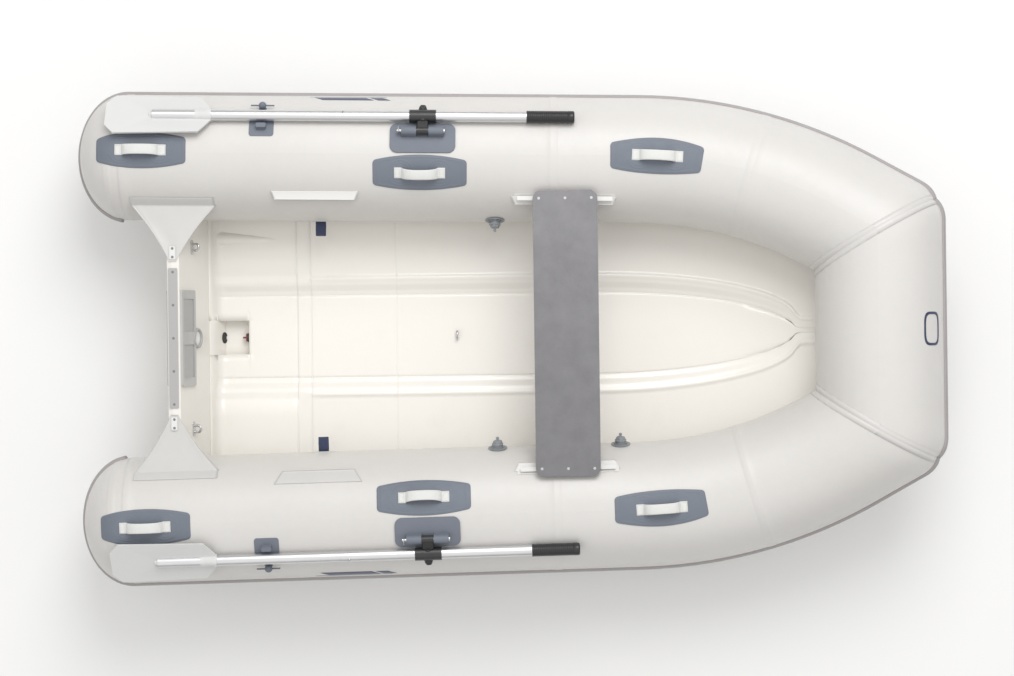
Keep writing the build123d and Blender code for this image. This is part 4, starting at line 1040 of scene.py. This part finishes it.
# towing ring under the motor pad, with its seat on the board
towRing = dict(reach=0.029, wire=0.0048, stand=0.0065, down=0.132, boardHalf=0.020)
boardFwd = Vector((cos(rake), 0, sin(rake)))
boardUp = Vector((-sin(rake), 0, cos(rake)))
boardTop = Vector((flap["board"], 0, flap["top"])) + boardFwd * towRing["boardHalf"]
ringSpot = boardTop - boardUp * towRing["down"]
ringRows = []
for k in reversed(range(14)):
    a = 2 * pi * k / 14
    out, rise = towRing["wire"] * cos(a), towRing["wire"] * sin(a)
    ringRows.append((towRing["reach"] + out, towRing["stand"] + rise, 0))
ring = lathe("padRing", ringSpot, boardFwd, ringRows, motorMat, "boat", 64, closed=True)
hubRows = inMetres(((30.5, -1, 0), (30.5, 2.5, 0), (29, 4.2, 0), (14, 4.6, 0), (12, 3, 0), (0.5, 3, 0)))
hub = lathe("padRingSeat", ringSpot, boardFwd, hubRows, whiteMat, "boat", 56)

# drain mouth on the well's aft face: a dark rubber ring round a shallow bore
drainZ = 0.118
mouth = Vector((deck["boardX"] - (drainZ - deck["low"]) * tan(rake), 0, drainZ)) + boardFwd * 0.0042
mouthRows = inMetres(((19.2, -1, 0), (19.2, 2.2, 0), (18.6, 3, 0), (17.4, 3, 0), (17, 2.2, 0), (17, -1, 0)))
boreRows = inMetres(((17.2, -0.6, 0), (17.2, 0.8, 0), (16, 1, 0), (14, 0.6, 0), (0.5, 0.4, 0)))
for name, rows, closed in (("drainMouthRing", mouthRows, True), ("drainBore", boreRows, False)):
    piece = lathe(name, mouth, boardFwd, rows, sealMat, "boat", 48, closed=closed)

# the pad moulded under the bow eye
eyeLow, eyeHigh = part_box("bow_eye")
eyeUp = Vector((-0.30, 0, 1)).normalized()
eyeMiddle = Vector(((eyeLow.x + eyeHigh.x) / 2 - 0.004, 0, eyeHigh.z - 0.010))
bossRows = inMetres(((0.5, -4, 0), (26, -4, 0), (29, -2, 0), (31, 4, 0), (34, 14, 0), (36, 22, 0),
                     (0.5, 22, 0)))
boss = lathe("bowEyeBoss", eyeMiddle, eyeUp, bossRows, hullMat, "boat", 48)
print("turned pieces made")

# slide flaps: tapered plastic flaps beside the seat and further aft
slide = dict(thick=0.0024, bead=0.0034, taper=0.55, stand=0.0014, seatX=0.183, spareX=-0.626)
# width across, lift of the free edge, finish, turn from the top
# the starboard strip takes the darker flap fabric where the port one has the bright track plastic: painted
# shade on the side away from the key light
spareSlides = {"port": (0.021, 0.011, trackMat, -35.0), "starboard": (0.042, 0.003, flapMat, -34.0)}


def slideFlap(name, side, distance, length, around, width, lift, material):
    points, uvs = [], []
    steps, columns = 40, 10
    spine = [(width * k / columns, slide["stand"] + lift * (k / columns) ** 1.4) for k in range(columns + 1)]
    section = [(w, h + slide["thick"] / 2) for w, h in spine]
    for i in range(1, 7):
        a = pi * (0.75 - 0.25 * i)
        section.append((width + slide["bead"] * (1 - cos(a)), spine[-1][1] + slide["bead"] * sin(a)))
    section += [(w, h - slide["thick"] / 2) for w, h in reversed(spine)]
    for i in range(steps + 1):
        share = 2 * i / steps - 1
        for w, h in section:
            u = share * (length / 2 - slide["taper"] * max(w, 0))
            points.append(mirrored(skinAt(distance + u, around - w / radius, h), side))
            uvs.append((u, w))
    faces = gridFaces(steps + 1, len(section), closedAcross=True) + endFaces(steps + 1, len(section))
    piece = makeMesh(name, points, faces, material, uvs=uvs, flip=side < 0)
    return piece


for side, hand in sides:
    width, lift, material, turn = spareSlides[hand]
    distance = slide["spareX"] - domeX
    spare = slideFlap(hand + "SpareSlide", side, distance, 0.286, radians(turn), width, lift, material)
    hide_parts("spare_tracks")
    slideFlap(hand + "SeatSlide", side, slide["seatX"] - domeX, 0.345, radians(-39.3), 0.022, 0.008, trackMat)
print("slides made")

# straps under the oar shafts, and plain navy trim
trimBars = (("Long", 0.0, 0.168, 0.0125, decalMat), ("Short", 0.118, 0.040, 0.0125, decalMat),
            ("Line", 0.012, 0.250, 0.0016, decalGreyMat))
for side, hand in sides:
    strap = patchOn(hand + "KeeperStrap", side, (0.462, radians(35.0), 0.025), lambda share: (-0.041, 0.041),
                    greyRubberMat, 0.0014, rows=16, columns=20, base=0.0017)
    for part, offset, length, half, material in trimBars:
        across = radians(66) + (0.0205 / radius if part == "Line" else 0)
        place = (0.722 + offset, across, length)
        trim = patchOn(hand + "Trim" + part, side, place, lambda share: (-half, half), material, 0.0004,
                       rows=30, columns=12, slant=-1.1 * side)

# a plain rounded ring on the bow tube
badge = dict(halfWide=0.054, halfTall=0.040, band=0.008, around=radians(44), thick=0.0005)
badgeRows = ((1, -0.0002), (1, badge["thick"]), (0.5, badge["thick"]), (0, badge["thick"]), (0, -0.0002))
points, uvs = [], []
for ring, lift in badgeRows:
    for k in range(72):
        a = 2 * pi * k / 72
        squareness = (abs(cos(a)) ** 4 + abs(sin(a)) ** 4) ** -0.25
        inward = badge["band"] * (1 - ring)
        y = (badge["halfWide"] - inward) * squareness * cos(a)
        v = (badge["halfTall"] - inward) * squareness * sin(a)
        turn = badge["around"] + v / radius
        normal = Vector((sin(turn), 0, cos(turn)))
        points.append(bowCentre + Vector((0, y, 0)) + normal * (radius + lift))
        uvs.append((y, v))
trim = makeMesh("bowTrim", points, gridFaces(5, 72, closedAcross=True, closedAlong=True), decalMat, uvs=uvs,
                flip=True)

# raised gutter moulded beside the port tube, fading out forward
gutter = dict(fromX=-1.010, toX=-0.735, y=0.338, half=0.026, high=0.015, foot=0.1755)
points, uvs = [], []
for i in range(33):
    share = i / 32
    x = gutter["fromX"] + (gutter["toX"] - gutter["fromX"]) * share
    size = min(1.06 * (1 - share) ** 0.8, 1.0) * (1 - 0.25 * max(1 - share / 0.2, 0) ** 2) + 0.02
    for k in range(15):
        a = pi * k / 14
        y = gutter["y"] - 0.010 * share + gutter["half"] * size * cos(a)
        points.append(Vector((x, y, gutter["foot"] + gutter["high"] * size * sin(a) ** 1.5)))
        uvs.append((x, a * 0.02))
ridge = makeMesh("deckGutter", points, gridFaces(33, 15), floorMat, uvs=uvs)
print("trim made")

# staging, light and camera
studio = dict(lens=74.8, height=7.3275, aim=(-0.010, -0.013), turn=-0.74, key=212, fill=8, sky=1.03,
              horizon=0.16)


def areaLight(name, power, size, place, target):
    lamp = bpy.data.lights.new(name, "AREA")
    lamp.energy = power
    lamp.shape = "DISK"
    lamp.size = size
    thing = bpy.data.objects.new(name, lamp)
    thing.location = place
    thing.rotation_euler = (Vector(target) - Vector(place)).to_track_quat("-Z", "Y").to_euler()
    bpy.context.scene.collection.objects.link(thing)


areaLight("keyLight", studio["key"], 4.0, (0.8, 3.8, 5.6), (0, 0, 0.2))
areaLight("fillLight", studio["fill"], 5.0, (-2.5, -4.5, 4.5), (0, 0, 0.2))
world = bpy.data.worlds.new("studioWorld")
world.use_nodes = True
sky = Nodes(world.node_tree)
backdrop = world.node_tree.nodes["Background"]
heading = sky.add("ShaderNodeTexCoord", {}, {}, "Generated")
height = sky.add("ShaderNodeSeparateXYZ", {}, {0: heading}, "Z")
# dimmer towards the horizon, as under a ceiling of diffusers
glow = sky.add("ShaderNodeMapRange", {}, {"Value": height, "From Max": 0.75, "To Min": studio["horizon"],
                                          "To Max": studio["sky"]}, "Result")
sky.put(backdrop.inputs["Color"], (1.0, 0.995, 0.985, 1))
sky.put(backdrop.inputs["Strength"], glow)
bpy.context.scene.world = world
ground = bpy.data.meshes.new("studioFloor")
reach = 14
ground.from_pydata([(-reach, -reach, 0), (reach, -reach, 0), (reach, reach, 0), (-reach, reach, 0)], [],
                   [(0, 1, 2, 3)])
groundPiece = bpy.data.objects.new("studioFloor", ground)
paper = Finish("studioPaper", (0.84, 0.84, 0.835), 0.8)
paper.feed("Roughness", paper.cloud(3) * 0.1 + 0.75)
ground.materials.append(paper.material)
groundPiece.location = (0, 0, -0.001)
bpy.context.scene.collection.objects.link(groundPiece)
lensData = bpy.data.cameras.new("planCamera")
lensData.lens = studio["lens"]
lensData.sensor_width = 36
camera = bpy.data.objects.new("planCamera", lensData)
camera.location = (*studio["aim"], studio["height"])
camera.rotation_euler = (0, 0, radians(studio["turn"]))
bpy.context.scene.collection.objects.link(camera)
bpy.context.scene.camera = camera
bpy.context.scene.view_settings.view_transform = "Standard"
print("stage set")
